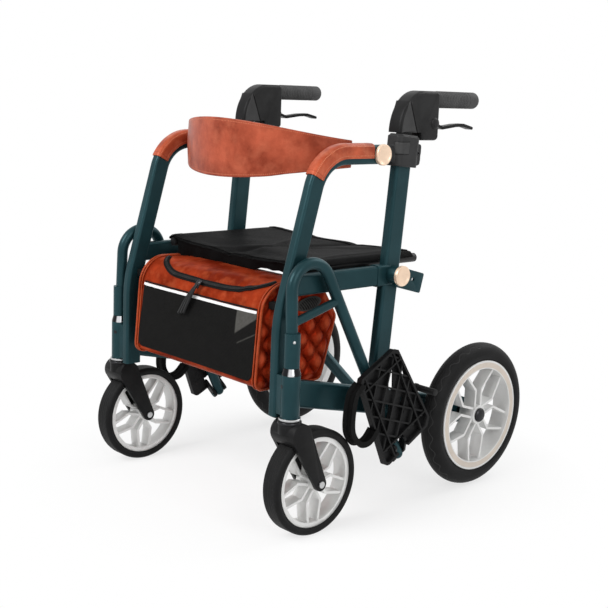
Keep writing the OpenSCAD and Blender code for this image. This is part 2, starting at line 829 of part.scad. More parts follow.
module wheel_body(hub_r, hub_l, bore_r, rim_in, rim_out, rim_w, spoke_w, spread) {
    rotate([0, 90, 0]) difference() {
        union() {
            linear_extrude(rim_w, center = true) difference() {
                circle(rim_out);
                circle(rim_in);
            }
            linear_extrude(spoke_w, center = true) intersection() {
                spoke_pattern(hub_r, rim_in, spread);
                circle((rim_in + rim_out) / 2);
            }
            cylinder(h = hub_l, r = hub_r, center = true);
        }
        cylinder(h = hub_l + 2, r = bore_r, center = true);
    }
}

module front_rim(side) {
    color(RIM) on_side(side) translate([head_x, front_axle_y, front_r])
        wheel_body(front_hub_r, front_w + fork_gap, front_bolt_d / 2 + run_gap,
                   front_rim_r - front_rim_t, front_rim_r, front_w - 8, front_w - 14, 17);
}

module front_tyre(side) {
    color(RUBBER) on_side(side) translate([head_x, front_axle_y, front_r]) rotate([0, 90, 0])
        rotate_extrude() {
            translate([front_rim_r, -front_w / 2 + 2]) square([front_tyre_h - 6, front_w - 4]);
            translate([front_rim_r + front_tyre_h / 2, 0])
                round_rect(front_tyre_h, front_w, front_tyre_h / 2 - 0.5);
        }
}

module rear_rim(side) {
    flange = 3;
    color(RIM) on_side(side) translate([rear_x, rear_axle_y, rear_r]) {
        wheel_body(rear_hub_r, rear_hub_l, rear_bolt_d / 2 + run_gap,
                   rear_rim_r - rear_rim_t, rear_rim_r, rear_w - 8, rear_w - 17, 24);
        for (s = [-1, 1]) rotate([0, 90, 0]) translate([0, 0, s * (rear_w / 2 - 4 + flange / 2)])
            linear_extrude(flange, center = true) difference() {
                circle(rear_rim_r + 3);
                circle(rear_rim_r - rear_rim_t);
            }
    }
}

module rear_tyre(side) {
    seat_w = rear_w - 8 - 0.2;
    color(RUBBER) on_side(side) translate([rear_x, rear_axle_y, rear_r]) rotate([0, 90, 0])
        rotate_extrude() difference() {
            union() {
                translate([rear_rim_r, -seat_w / 2]) square([rear_tyre_h - rear_w / 2, seat_w]);
                translate([rear_r - rear_w / 2, 0]) circle(d = rear_w);
            }
            square([2 * rear_rim_r, rear_w + 2], center = true);
            for (s = [-1, 1]) translate([0, s * (rear_w / 2 - 4 + 5) - 5])
                square([rear_rim_r + 3 + 0.1, 10]);
        }
}

// Handles

// Room behind the wall of the housing's front
module pod_room(grow) {
    centre = [pod_front_y, collar_top + 3];
    side_slab(handle_x - pod_w, handle_x + pod_w) {
        translate(centre) circle(pod_front_r - shell_t + grow);
        translate([centre[0] - 2 * pod_front_r, post_z - 30]) square([4 * pod_front_r, centre[1] - post_z + 30]);
        translate([centre[0], centre[1] - 20]) square([4 * pod_front_r, 2 * pod_front_r]);
    }
}

module handle_post(side) {
    color(BLACK) on_side(side) intersection() {
        union() {
            post_solid(0, post_z, post_top_z);
            translate([handle_x, upright_at(post_top_z) - 2, grip_h]) rotate([-90, 0, 0])
                cylinder(h = grip_end_y - 4 - upright_at(post_top_z) + 2, d = bar_d);
        }
        pod_room(0);
    }
}

module pod_outline() {
    back_low = collar_top - 8;
    intersection() {
        translate([pod_front_y, collar_top + 3]) circle(pod_front_r);
        translate([-60, pod_low_z]) square([pod_back_y + 40, pod_top_z - pod_low_z]);
    }
    translate([(24 + pod_back_y) / 2, (back_low + pod_top_z) / 2])
        round_rect(pod_back_y - 24, pod_top_z - back_low, 8);
}

// Everything in front of the seam, shifted back by gap
module before_seam(gap) {
    translate([gap, seam_z]) rotate(seam_lean) translate([-300, -300]) square([300, 600]);
}

module pod_bores() {
    intersection() {
        union() {
            post_solid(0.05, pod_low_z - 20, post_top_z + 0.1);
            translate([handle_x, upright_at(post_top_z) - 2.1, grip_h]) rotate([-90, 0, 0])
                cylinder(h = 200, d = bar_d + 0.1);
        }
        pod_room(0.05);
    }
}

module housing_shell(side) {
    color(BLACK) on_side(side) difference() {
        side_slab(handle_x - pod_w / 2 + 1, handle_x + pod_w / 2 - 1) intersection() {
            pod_outline();
            before_seam(0);
        }
        pod_bores();
    }
}

module brake_housing(side) {
    slot_w = lever_w + 2 * pass_gap;
    color(BLACK) on_side(side) difference() {
        side_slab(handle_x - pod_w / 2, handle_x + pod_w / 2) difference() {
            pod_outline();
            before_seam(seam_gap);
        }
        pod_bores();
        side_slab(handle_x - slot_w / 2, handle_x + slot_w / 2)
            translate([lever_y - lever_boss_r - 2, lever_z - 16]) square([60, 28]);
        cross_bar(handle_x - pod_w, handle_x + pod_w, lever_y, lever_z, lever_pin_r + run_gap);
    }
}

// Ribbed grip with a round end
module grip(side) {
    grip_y = pod_back_y;
    grip_l = grip_end_y - grip_y;
    core = bar_d / 2;
    rib_gap = 5;
    ribs = floor((grip_l - 40) / rib_gap);
    color(BLACK) on_side(side) translate([handle_x, grip_y, grip_h]) rotate([-90, 0, 0]) difference() {
        union() {
            rotate_extrude() {
                square([grip_d / 2 - 1, grip_l - 10]);
                translate([0, grip_l - 30]) square([grip_d / 2 - 8, 30]);
                translate([grip_d / 2 - 8, grip_l - 8]) circle(8);
                translate([0, grip_l - 30]) square([grip_d / 2, 22]);
                for (i = [0 : ribs - 1]) translate([0, 8 + i * rib_gap]) square([grip_d / 2, rib_gap * 0.6]);
            }
        }
        translate([0, 0, -1]) cylinder(h = grip_l - 3, r = core);
    }
}

module brake_lever(side) {
    color(BLACK) on_side(side) {
        side_slab(handle_x - lever_w / 2, handle_x + lever_w / 2) {
            translate([lever_y, lever_z]) circle(lever_boss_r);
            stroke(lever_path, lever_t);
        }
        cross_bar(handle_x - pod_w / 2 + 1, handle_x + pod_w / 2 - 1, lever_y, lever_z, lever_pin_r);
    }
}

// Arm and bar that press on the rear tyre
module brake_arm(side) {
    color(BLACK) on_side(side) difference() {
        union() {
            side_slab(brake_x, brake_x + brake_arm_t) taper([brake_y, brake_z], 10, [shoe_y, shoe_z], 8);
            cross_bar(brake_x, rear_x + rear_w / 2 - 2, shoe_y, shoe_z, shoe_r);
        }
        cross_bar(brake_x - 1, brake_x + brake_arm_t + 1.5, brake_y, brake_z, brake_pin_r + run_gap);
    }
}

// Folding cross brace: each bar runs from a lower hinge up to the seat tube on the other side

// Bar whose lower hinge is on the side of sign s
module brace_bar(s, y, hole) {
    low = [s * brace_x, brace_z];
    high = [-s * seat_tube_x, seat_tube_z];
    color(TEAL) {
        front_slab(y, brace_t) difference() {
            stroke([low, high], brace_w);
            translate(low) circle(brace_pin_d / 2 + run_gap);
            translate(low + (high - low) * brace_x / (brace_x + seat_tube_x)) circle(hole);
            translate(high + [-30, 0]) square([60, 30]);
        }
        translate([high[0], seat_front_y, seat_tube_z]) rotate([-90, 0, 0])
            cylinder(h = seat_rear_y - seat_front_y, r = seat_tube_r);
    }
}

module brace_a() { brace_bar(-1, brace_a_y, pivot_d / 2); }

module brace_b() { brace_bar(1, brace_b_y, pivot_d / 2 + run_gap); }

module brace_pivot() {
    mid_z = brace_z + (seat_tube_z - brace_z) * brace_x / (brace_x + seat_tube_x);
    front = brace_a_y - brace_t / 2;
    back = brace_b_y + brace_t / 2 + pass_gap;
    color(STEEL) {
        front_slab((front + back) / 2, back - front) translate([0, mid_z]) circle(d = pivot_d);
        front_slab(front - 1.5, 3) translate([0, mid_z]) circle(d = pivot_d + 8);
        front_slab(back + 1.5, 3) translate([0, mid_z]) circle(d = pivot_d + 8);
    }
}

// Soft parts

// Seat cloth hung between the seat tubes, with a hem over each
module seat() {
    top_z = seat_tube_z + seat_out_r;
    y0 = seat_front_y - 4;
    y1 = seat_rear_y - seat_margin;
    color(BLACK) front_slab((y0 + y1) / 2, y1 - y0) {
        intersection() {
            translate([0, top_z - seat_sag + sag_r]) difference() {
                circle(sag_r + seat_pad_t, $fn = 1440);
                circle(sag_r, $fn = 1440);
            }
            translate([0, top_z - 40]) square([2 * seat_tube_x, 80], center = true);
        }
        for (s = [-1, 1]) translate([s * seat_tube_x, seat_tube_z]) intersection() {
            difference() {
                circle(seat_out_r);
                circle(seat_in_r);
            }
            translate([-50, pass_gap]) square(100);
        }
    }
}

// Outline of the bag's side panel, drawn in by inset
module bag_outline(inset) {
    front = bag_front_y + bag_rake + bag_r;
    hull() {
        translate([front, bag_top_z - bag_r]) circle(bag_r - inset, $fn = 48);
        translate([bag_front_y + 18, bag_low_z + 18]) circle(18 - inset, $fn = 32);
        translate([bag_back_y - 61, bag_top_z - 27]) circle(25 - inset, $fn = 32);
        translate([bag_back_y - 14, bag_top_z - 78]) circle(14 - inset, $fn = 32);
        translate([bag_back_y - 45, bag_low_z + 14]) circle(14 - inset, $fn = 32);
    }
}

// Storage bag between the front tubes, with a tab to each
module bag() {
    tab_x = tube_in - pass_gap;
    tab_z = bag_top_z - 52;
    tab_y = foot_y + (tab_z + 12 - knee_h) * tan(front_lean) - 8;
    color(LEATHER) {
        hull() for (inset = [0, bag_edge]) rotate([90, 0, 90])
            linear_extrude(bag_w - 2 * bag_edge + 2 * inset, center = true) bag_outline(inset);
        for (s = [-1, 1]) translate([s > 0 ? bag_w / 2 - 12 : -tab_x, tab_y, tab_z])
            cube([tab_x - bag_w / 2 + 12, 20, 22]);
    }
}

// Leather band across the front of the armrests
module backrest() {
    mid_z = (band_top_z + band_low_z) / 2;
    color(LEATHER) intersection() {
        translate([0, 0, band_low_z - 10]) linear_extrude(band_top_z - band_low_z + 20) difference() {
            translate([0, band_y]) circle(band_r, $fn = 360);
            translate([0, band_y]) circle(band_r - band_t, $fn = 360);
            translate([-500, band_end_y]) square(1000);
        }
        front_slab(band_end_y - band_bow / 2, 2 * band_bow) intersection() {
            translate([0, band_top_z - band_top_r]) circle(band_top_r, $fn = 720);
            translate([0, band_low_z + band_low_r]) circle(band_low_r, $fn = 720);
            translate([-band_half, mid_z - 100]) square([2 * band_half, 200]);
        }
    }
}

for (s = SIDES) {
    front_tube(s);
    upright(s);
    seat_rail(s);
    lower_rail(s);
    head_tube(s);
    arm_pad(s);
    caps(s);
    rear_bracket(s);
    rear_axle(s);
    collar(s);
    saddles(s);
    head_ring(s);
    hanger(s);
    footplate(s);
    heel_strap(s);
    fork(s);
    front_axle(s);
    front_rim(s);
    front_tyre(s);
    rear_rim(s);
    rear_tyre(s);
    handle_post(s);
    brake_housing(s);
    housing_shell(s);
    grip(s);
    brake_lever(s);
    brake_arm(s);
}
brace_a();
brace_b();
brace_pivot();
seat();
bag();
backrest();
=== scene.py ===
"""Looks of a rollator transport chair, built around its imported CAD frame.

The side frames, wheels, footrests and brakes are CAD nodes, most of them replaced by copies with softened
edges. The brake housings, the small trim and the soft goods are modelled here: seat, bag, backrest, armrest
sleeves and heel straps.
"""

from __future__ import annotations

import json
import logging
import math
from dataclasses import dataclass, field
from enum import Enum
from typing import Callable, Iterable, Sequence, Union

import bpy
from mathutils import Matrix, Vector, noise

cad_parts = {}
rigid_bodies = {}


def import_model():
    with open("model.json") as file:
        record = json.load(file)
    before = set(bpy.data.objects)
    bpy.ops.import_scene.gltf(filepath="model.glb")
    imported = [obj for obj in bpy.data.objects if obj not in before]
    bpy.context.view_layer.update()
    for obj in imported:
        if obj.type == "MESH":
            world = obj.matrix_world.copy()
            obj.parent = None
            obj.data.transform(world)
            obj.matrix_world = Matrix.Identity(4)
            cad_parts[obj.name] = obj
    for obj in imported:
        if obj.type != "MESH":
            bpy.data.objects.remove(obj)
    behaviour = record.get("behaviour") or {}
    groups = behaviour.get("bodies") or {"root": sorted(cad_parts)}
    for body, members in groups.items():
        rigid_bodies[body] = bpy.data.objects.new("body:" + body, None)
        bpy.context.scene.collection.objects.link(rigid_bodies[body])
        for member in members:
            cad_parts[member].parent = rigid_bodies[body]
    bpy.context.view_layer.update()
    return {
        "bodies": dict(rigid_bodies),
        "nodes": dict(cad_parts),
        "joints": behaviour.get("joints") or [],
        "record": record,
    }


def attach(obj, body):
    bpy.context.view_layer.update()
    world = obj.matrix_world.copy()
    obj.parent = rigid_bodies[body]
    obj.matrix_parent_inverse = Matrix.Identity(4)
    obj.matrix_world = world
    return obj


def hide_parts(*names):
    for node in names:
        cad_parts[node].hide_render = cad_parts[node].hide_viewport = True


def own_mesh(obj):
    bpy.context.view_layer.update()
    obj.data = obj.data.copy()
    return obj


LOG = logging.getLogger("chair")
MM = 0.001
WELD = 0.004 * MM
Point = tuple[float, float, float]
Color = tuple[float, float, float]
Profile = tuple[tuple[float, float], ...]
Piece = bpy.types.Object
Material = bpy.types.Material
Finish = Union[Material, str]
Shape = Callable[[float, float], Vector]


class Side(Enum):
    """The two mirror-image sides of the chair."""

    LEFT = 1
    RIGHT = -1

    @property
    def word(self) -> str:
        """Name of the side as the CAD nodes spell it."""
        return self.name.lower()

    def flip(self, point: Vector) -> Vector:
        """Point of the left side, brought to this side."""
        return Vector((point.x * self.value, point.y, point.z))


def clamp(value: float, low: float, high: float) -> float:
    """Value held between two limits."""
    return max(low, min(high, value))


def smoothstep(value: float) -> float:
    """Soft step from 0 to 1."""
    t = clamp(value, 0.0, 1.0)
    return t * t * (3.0 - 2.0 * t)


class Sock:
    """A node's output that takes part in Python expressions."""

    def __init__(self, graph: "Graph", socket: bpy.types.NodeSocket) -> None:
        """Wraps one output socket of a graph."""
        self.graph = graph
        self.socket = socket

    def _math(self, operation: str, first: "Value", second: "Value") -> "Sock":
        """Adds a Math node for two operands."""
        return self.graph.node("ShaderNodeMath", {"operation": operation}, {0: first, 1: second})

    def __add__(self, other: "Value") -> "Sock":
        """Sum."""
        return self._math("ADD", self, other)

    __radd__ = __add__

    def __sub__(self, other: "Value") -> "Sock":
        """Difference."""
        return self._math("SUBTRACT", self, other)

    def __rsub__(self, other: "Value") -> "Sock":
        """Difference, reflected."""
        return self._math("SUBTRACT", other, self)

    def __mul__(self, other: "Value") -> "Sock":
        """Product."""
        return self._math("MULTIPLY", self, other)

    __rmul__ = __mul__

    def __gt__(self, other: "Value") -> "Sock":
        """1 where this value is greater."""
        return self._math("GREATER_THAN", self, other)

    def __lt__(self, other: "Value") -> "Sock":
        """1 where this value is less."""
        return self._math("LESS_THAN", self, other)

    def call(self, operation: str, other: "Value" = 0.0) -> "Sock":
        """Any other Math operation, such as SINE or ABSOLUTE."""
        return self._math(operation, self, other)

    def wave(self) -> "Sock":
        """Sine of this value, brought to the range from 0 to 1."""
        return self.call("SINE") * 0.5 + 0.5

    def held(self, high: float = 1.0) -> "Sock":
        """This value, held between 0 and a limit."""
        return self.call("MAXIMUM", 0.0).call("MINIMUM", high)

    def ridge(self, sharp: float) -> "Sock":
        """1 where this value is 0, falling off to 0 on both sides."""
        return 1.0 - (self.call("ABSOLUTE") * sharp).call("MINIMUM", 1.0)


Value = Union[Sock, float, tuple]


class Graph:
    """Node tree of one material."""

    def __init__(self, name: str) -> None:
        """Starts an empty node material of that name."""
        self.material = bpy.data.materials.new(name)
        self.material.use_nodes = True
        self.tree = self.material.node_tree
        self.tree.nodes.clear()

    def node(self, kind: str, settings: dict | None = None, inputs: dict | None = None,
             out: int | str = 0) -> Sock:
        """Adds a node.

        Args:
            kind: Blender's type name of the node.
            settings: properties that are set first; "stops" holds a ramp's places and colours.
            inputs: value or link of each socket, by name or number.
            out: the output to return.

        Returns:
            The chosen output.
        """
        made = self.tree.nodes.new(kind)
        for key, value in (settings or {}).items():
            if key == "stops":
                self._stops(made.color_ramp, value)
            else:
                setattr(made, key, value)
        for key, value in (inputs or {}).items():
            if isinstance(value, Sock):
                self.tree.links.new(value.socket, made.inputs[key])
            else:
                made.inputs[key].default_value = value
        return Sock(self, made.outputs[out])

    @staticmethod
    def _stops(ramp: bpy.types.ColorRamp, stops: Sequence[tuple[float, float]]) -> None:
        """Sets a ramp's stops from places and grey values."""
        while len(ramp.elements) < len(stops):
            ramp.elements.new(0.5)
        for element, (place, grey) in zip(ramp.elements, stops):
            element.position = place
            element.color = (grey, grey, grey, 1.0)

    def coords(self) -> Sock:
        """Object coordinates, which are the chair's own frame in metres."""
        return self.node("ShaderNodeTexCoord", out="Object")

    def xyz(self, out: str = "Object") -> tuple[Sock, Sock, Sock]:
        """Coordinates of one kind, as three values."""
        split = self.node("ShaderNodeSeparateXYZ", inputs={0: self.node("ShaderNodeTexCoord", out=out)})
        outputs = split.socket.node.outputs
        return split, Sock(self, outputs[1]), Sock(self, outputs[2])

    def uv(self) -> tuple[Sock, Sock]:
        """The piece's own UV map, as two values."""
        return self.xyz("UV")[:2]

    def noise(self, scale: float, detail: float = 3.0, rough: float = 0.55) -> Sock:
        """Noise value from 0 to 1 at a number of features per metre."""
        inputs = {"Vector": self.coords(), "Scale": scale, "Detail": detail, "Roughness": rough}
        return self.node("ShaderNodeTexNoise", {}, inputs)

    def cells(self, scale: float) -> Sock:
        """Distance to the nearest cell centre, for pebbled grain."""
        return self.node("ShaderNodeTexVoronoi", {}, {"Vector": self.coords(), "Scale": scale})

    def ramp(self, value: Sock, stops: Sequence[tuple[float, float]]) -> Sock:
        """Value passed through a grey ramp."""
        return self.node("ShaderNodeValToRGB", {"stops": stops}, {0: value})

    def mix(self, factor: Value, first: Value, second: Value) -> Sock:
        """Mix of two colours."""
        inputs = {0: factor, 6: tint(first), 7: tint(second)}
        return self.node("ShaderNodeMix", {"data_type": "RGBA"}, inputs, out=2)

    def surface(self, color: Value, rough: Value, metal: Value = 0.0, height: Sock | None = None,
                bump: float = 0.4, depth: float = 0.6 * MM, **fixed: Value) -> Material:
        """Closes the graph with one shader.

        Args:
            color: base colour, fixed or varying.
            rough: roughness, fixed or varying.
            metal: metallic share.
            height: height of the fine relief, if any.
            bump: strength of the relief.
            depth: depth of the relief in metres.
            **fixed: constant values of other sockets, with underscores for spaces.

        Returns:
            The finished material.
        """
        inputs: dict = {"Base Color": tint(color), "Roughness": rough, "Metallic": metal}
        inputs.update({key.replace("_", " "): value for key, value in fixed.items()})
        if height is not None:
            relief = {"Strength": bump, "Distance": depth, "Height": height}
            inputs["Normal"] = self.node("ShaderNodeBump", {}, relief)
        shader = self.node("ShaderNodeBsdfPrincipled", {}, inputs)
        self.node_output(shader)
        return self.material

    def node_output(self, shader: Sock) -> None:
        """Adds the material's output."""
        made = self.tree.nodes.new("ShaderNodeOutputMaterial")
        self.tree.links.new(shader.socket, made.inputs["Surface"])


def tint(value: Value) -> Value:
    """Colour with its alpha, or a link as it is."""
    if isinstance(value, tuple) and len(value) == 3:
        return (*value, 1.0)
    return value


@dataclass(frozen=True)
class Paint:
    """Satin metallic paint on the frame."""

    name: str
    color: Color
    lift: Color
    rough: float = 0.36
    metal: float = 0.35
    shine: Color = (0.75, 0.95, 1.0)

    def build(self) -> Material:
        """Returns the material: fine flake, faint cloudiness and a thin clear coat."""
        g = Graph(self.name)
        cloud = g.noise(14.0, 3.0)
        flake = g.noise(2600.0, 2.0)
        shade = g.ramp(cloud * 0.8 + flake * 0.2, [(0.35, 0.0), (0.68, 1.0)])
        color = g.mix(shade, self.color, self.lift)
        rough = cloud * 0.10 + flake * 0.06 + (self.rough - 0.08)
        return g.surface(color, rough, self.metal, flake, 0.05, 0.1 * MM, Coat_Weight=0.04,
                         Coat_Roughness=0.22, Specular_IOR_Level=0.2, Specular_Tint=tint(self.shine))


@dataclass(frozen=True)
class Leather:
    """Waxed leather with pebbled grain, dark mottling, optional sewn rows whose pressed grooves get painted
    shade, and optional diamonds of painted shade and highlight.
    """

    name: str
    color: Color
    deep: Color
    pale: Color
    rough: float = 0.40
    grain: float = 700.0
    wax: float = 0.05
    gloss: float = 0.12
    rows: tuple[float, ...] = ()
    stitches: float = 60.0
    along_u: bool = True
    hems: tuple[float, ...] = ()
    shine: Color = (1.0, 0.50, 0.37)
    metal: float = 0.0
    # diamonds give painted shade and highlight only, no relief
    diamonds: tuple[float, float] | None = None

    def build(self) -> Material:
        """Returns the material; sewn rows lie at fixed places across the piece's own UV map."""
        g = Graph(self.name)
        broad = g.noise(16.0, 5.0, 0.62)
        patch = g.noise(42.0, 4.0, 0.55)
        pores = g.cells(self.grain)
        wrinkle = g.noise(260.0, 4.0, 0.7)
        color = g.mix(g.ramp(broad, [(0.36, 0.0), (0.66, 1.0)]), self.deep, self.color)
        color = g.mix(g.ramp(patch, [(0.48, 0.0), (0.80, 0.45)]), color, self.pale)
        color = g.mix(g.ramp(pores, [(0.0, 0.30), (0.45, 0.0)]), color, self.deep)
        height = pores * 0.5 + wrinkle * 0.5
        if self.rows:
            line, thread = self._sewing(g)
            # painted shade darkens the pressed grooves; the paler stitches are the thread's own colour
            color = g.mix(line * 0.8, color, self.deep)
            color = g.mix(thread * 0.8, color, self.pale)
            height = height - line * 1.4 + thread * 2.2
        # painted shade in the diamonds' grooves and a painted highlight on their crests
        if self.diamonds:
            diamond_light = self._pads(g)
            color = g.mix(g.ramp(diamond_light, [(0.10, 0.75), (0.42, 0.0)]), color, self.deep)
            color = g.mix(g.ramp(diamond_light, [(0.62, 0.0), (0.95, 0.45)]), color, self.pale)
        rough = patch * 0.16 + pores * 0.08 + (self.rough - 0.10)
        return g.surface(color, rough, self.metal, height, 0.32, 0.5 * MM, Coat_Weight=self.wax,
                         Coat_Roughness=0.2, Specular_IOR_Level=self.gloss, Specular_Tint=tint(self.shine))

    def _pads(self, g: Graph) -> Sock:
        """Height of the sewn diamonds, from 0 in their grooves to 1, on the side view's axes; used only for
        painted shade in the grooves and a painted highlight on the crests.
        """
        _, y, z = g.xyz()
        across, up = y * (math.pi / self.diamonds[0]), z * (math.pi / self.diamonds[1])
        first = (across + up).call("SINE").call("ABSOLUTE")
        second = (across - up).call("SINE").call("ABSOLUTE")
        return first * second

    def _sewing(self, g: Graph) -> tuple[Sock, Sock]:
        """Groove and thread of the sewn rows.

        Args:
            g: graph to add to.

        Returns:
            Masks of the pressed groove and of the single stitches.
        """
        u, v = g.uv()
        along, across = (u, v) if self.along_u else (v, u)
        lines = []
        for place, rows, width in ((across, self.rows, 70.0), (along, self.hems, 140.0)):
            line: Sock | float = 0.0
            for row in rows:
                line = (place - row).ridge(width).call("MAXIMUM", line)
            lines.append(line)
        dash = (along * self.stitches).call("FRACT")
        thread = (dash < 0.62) * (lines[0] > 0.45)
        return lines[0].call("MAXIMUM", lines[1]), thread


@dataclass(frozen=True)
class Moulded:
    """Moulded plastic or powder coat with a fine grain."""

    name: str
    color: Color
    rough: float = 0.5
    grain: float = 1800.0
    relief: float = 0.12
    metal: float = 0.0
    spread: float = 0.35
    sheen: float = 0.16

    def build(self) -> Material:
        """Returns the material: eroded grain, slight handling marks."""
        g = Graph(self.name)
        fine = g.noise(self.grain, 3.0, 0.6)
        wear = g.noise(26.0, 4.0, 0.6)
        pale = tuple(c * (1.0 + self.spread) + 0.004 for c in self.color)
        color = g.mix(g.ramp(wear, [(0.38, 0.0), (0.70, 1.0)]), self.color, pale)
        rough = wear * 0.14 + fine * 0.08 + (self.rough - 0.11)
        return g.surface(color, rough, self.metal, fine, self.relief, 0.2 * MM, Specular_IOR_Level=self.sheen)


@dataclass(frozen=True)
class Metal:
    """Bare or plated metal with a fine brushed or spun face."""

    name: str
    color: Color
    rough: float = 0.25
    spun: float = 0.06
    metal: float = 1.0

    def build(self) -> Material:
        """Returns the material."""
        g = Graph(self.name)
        fine = g.noise(900.0, 3.0)
        smear = g.noise(40.0, 3.0)
        dark = tuple(c * 0.86 for c in self.color)
        color = g.mix(g.ramp(smear, [(0.3, 0.0), (0.7, 1.0)]), dark, self.color)
        rough = fine * self.spun + smear * 0.06 + (self.rough - 0.05)
        return g.surface(color, rough, self.metal, fine, 0.04, 0.1 * MM)


@dataclass(frozen=True)
class Chrome:
    """Bright ring whose colour holds painted reflections: dark and light stripes that run along its axis."""

    name: str
    axis: tuple[float, float]
    bands: float = 3.0
    phase: float = 3.85
    # painted reflection: dark stripe colour, and the painted highlight colour between the stripes
    dark: Color = (0.02, 0.02, 0.022)
    bright: Color = (0.70, 0.70, 0.72)

    def build(self) -> Material:
        """Returns the material; the painted reflection stripes follow the angle about an upright axis."""
        g = Graph(self.name)
        x, y, _ = g.xyz()
        angle = (y - self.axis[1]).call("ARCTAN2", x - self.axis[0])
        # painted reflection: light and dark stripes by the angle round the ring
        band = (angle * self.bands + self.phase).wave()
        smear = g.noise(60.0, 3.0)
        shade = g.ramp(band * 0.85 + smear * 0.15, [(0.66, 0.0), (0.84, 1.0)])
        return g.surface(g.mix(shade, self.dark, self.bright), smear * 0.08 + 0.10, 1.0)


@dataclass(frozen=True)
class Tyre:
    """Rubber tyre with a waved tread line on each shoulder and fine ribs on its crown, with painted shade in
    the cuts and a painted highlight along the waved line.
    """

    name: str
    center: Point
    radius: float
    half: float
    waves: float
    lip: float = 0.0
    color: Color = (0.0055, 0.0055, 0.0057)
    # painted shade colour of the cuts, and painted highlight colour along the waved line's raised edge
    groove: Color = (0.005, 0.005, 0.005)
    worn: Color = (0.05, 0.05, 0.05)

    def build(self) -> Material:
        """Returns the material; the tread follows the angle about the axle."""
        g = Graph(self.name)
        x, y, z = g.xyz()
        dy, dz = y - self.center[1], z - self.center[2]
        angle = dz.call("ARCTAN2", dy)
        out = (dy * dy + dz * dz).call("SQRT")
        side = (x - self.center[0]).call("ABSOLUTE")
        wave = (angle * self.waves).call("SINE") * (0.15 * self.half)
        groove = (side - 0.55 * self.half + wave).ridge(1.0 / (0.055 * self.half))
        rib = (side - 0.16 * self.half).ridge(1.0 / (0.05 * self.half))
        crown = out > (self.radius - 0.45 * self.half)
        cut = groove.call("MAXIMUM", rib) * crown
        lip = groove * crown * self.lip
        bead = (out - (self.radius - 1.05 * self.half)).ridge(900.0)
        fine = g.noise(1300.0, 3.0)
        dust = g.noise(30.0, 4.0, 0.65)
        pale = tuple(c * 2.1 for c in self.color)
        color = g.mix(g.ramp(dust, [(0.42, 0.0), (0.75, 0.8)]), self.color, pale)
        # painted shade darkens the cuts; painted highlight lightens the waved line's edge
        color = g.mix(cut * 0.7, color, self.groove)
        color = g.mix(lip, color, self.worn)
        height = fine * 0.12 - cut * 1.0 + bead * 0.35
        return g.surface(color, dust * 0.12 + 0.52, 0.0, height, 0.55, 1.2 * MM, Specular_IOR_Level=0.14)


@dataclass(frozen=True)
class Woven:
    """Woven cloth, webbing or net, from crossing threads on the chair's own axes or the piece's UV map."""

    name: str
    color: Color
    thread: Color
    pitch: float = 900.0
    rough: float = 0.85
    net: bool = False
    use_uv: tuple[float, float] | None = None
    relief: float = 0.5
    sheen: float = 0.05
    # colour, places and slopes of a paler corner patch and of a painted highlight streak along a crease line
    lining: Color | None = None
    lining_at: tuple[float, float] = (0.125, 0.360)
    lining_slope: float = 0.655
    crease_at: tuple[float, float] = (0.1345, 0.3457)
    crease_slope: float = 0.51

    def build(self) -> Material:
        """Returns the material: two families of threads, lint, and where asked a paler corner patch with a
        painted highlight along a crease line.
        """
        g = Graph(self.name)
        if self.use_uv:
            u, v = g.uv()
            a, b = u * self.use_uv[0], v * self.use_uv[1]
        else:
            x, y, z = g.xyz()
            a, b = x * self.pitch, (y + z * 0.9) * self.pitch
        warp, weft = (a * math.tau).wave(), (b * math.tau).wave()
        lint = g.noise(45.0, 5.0, 0.65)
        if self.net:
            weave = warp.call("MAXIMUM", weft)
            color = g.mix(g.ramp(weave, [(0.55, 0.0), (0.85, 1.0)]), self.color, self.thread)
        else:
            weave = warp * weft + (1.0 - warp) * (1.0 - weft)
            color = g.mix(weave * 0.6, self.color, self.thread)
        color = g.mix(g.ramp(lint, [(0.40, 0.0), (0.72, 0.5)]), color, self.thread)
        # paler corner patch and painted highlight streak
        if self.lining:
            color = g.mix(self._through(g) * (0.35 + 0.5 * weave), color, self.lining)
        rough, height = lint * 0.10 + (self.rough - 0.06), weave - (1.0 - weave) * 0.4
        return g.surface(color, rough, 0.0, height, self.relief, 0.35 * MM, Specular_IOR_Level=self.sheen)

    def _through(self, g: Graph) -> Sock:
        """Mask of a paler corner patch, and of a painted highlight along a crease line below it."""
        x, _, z = g.xyz()
        haze = g.noise(120.0, 3.0) * 0.6 + 0.55
        over = x - self.lining_at[0]
        rise = z - self.lining_at[1] - over * self.lining_slope
        corner = (over * 400.0).held() * (rise * 300.0).held()
        # painted highlight streak along a crease line
        past = x - self.crease_at[0]
        crease = (z - self.crease_at[1] - past * self.crease_slope).ridge(420.0)
        return (corner + crease * (past > -0.0005) * 0.6) * haze


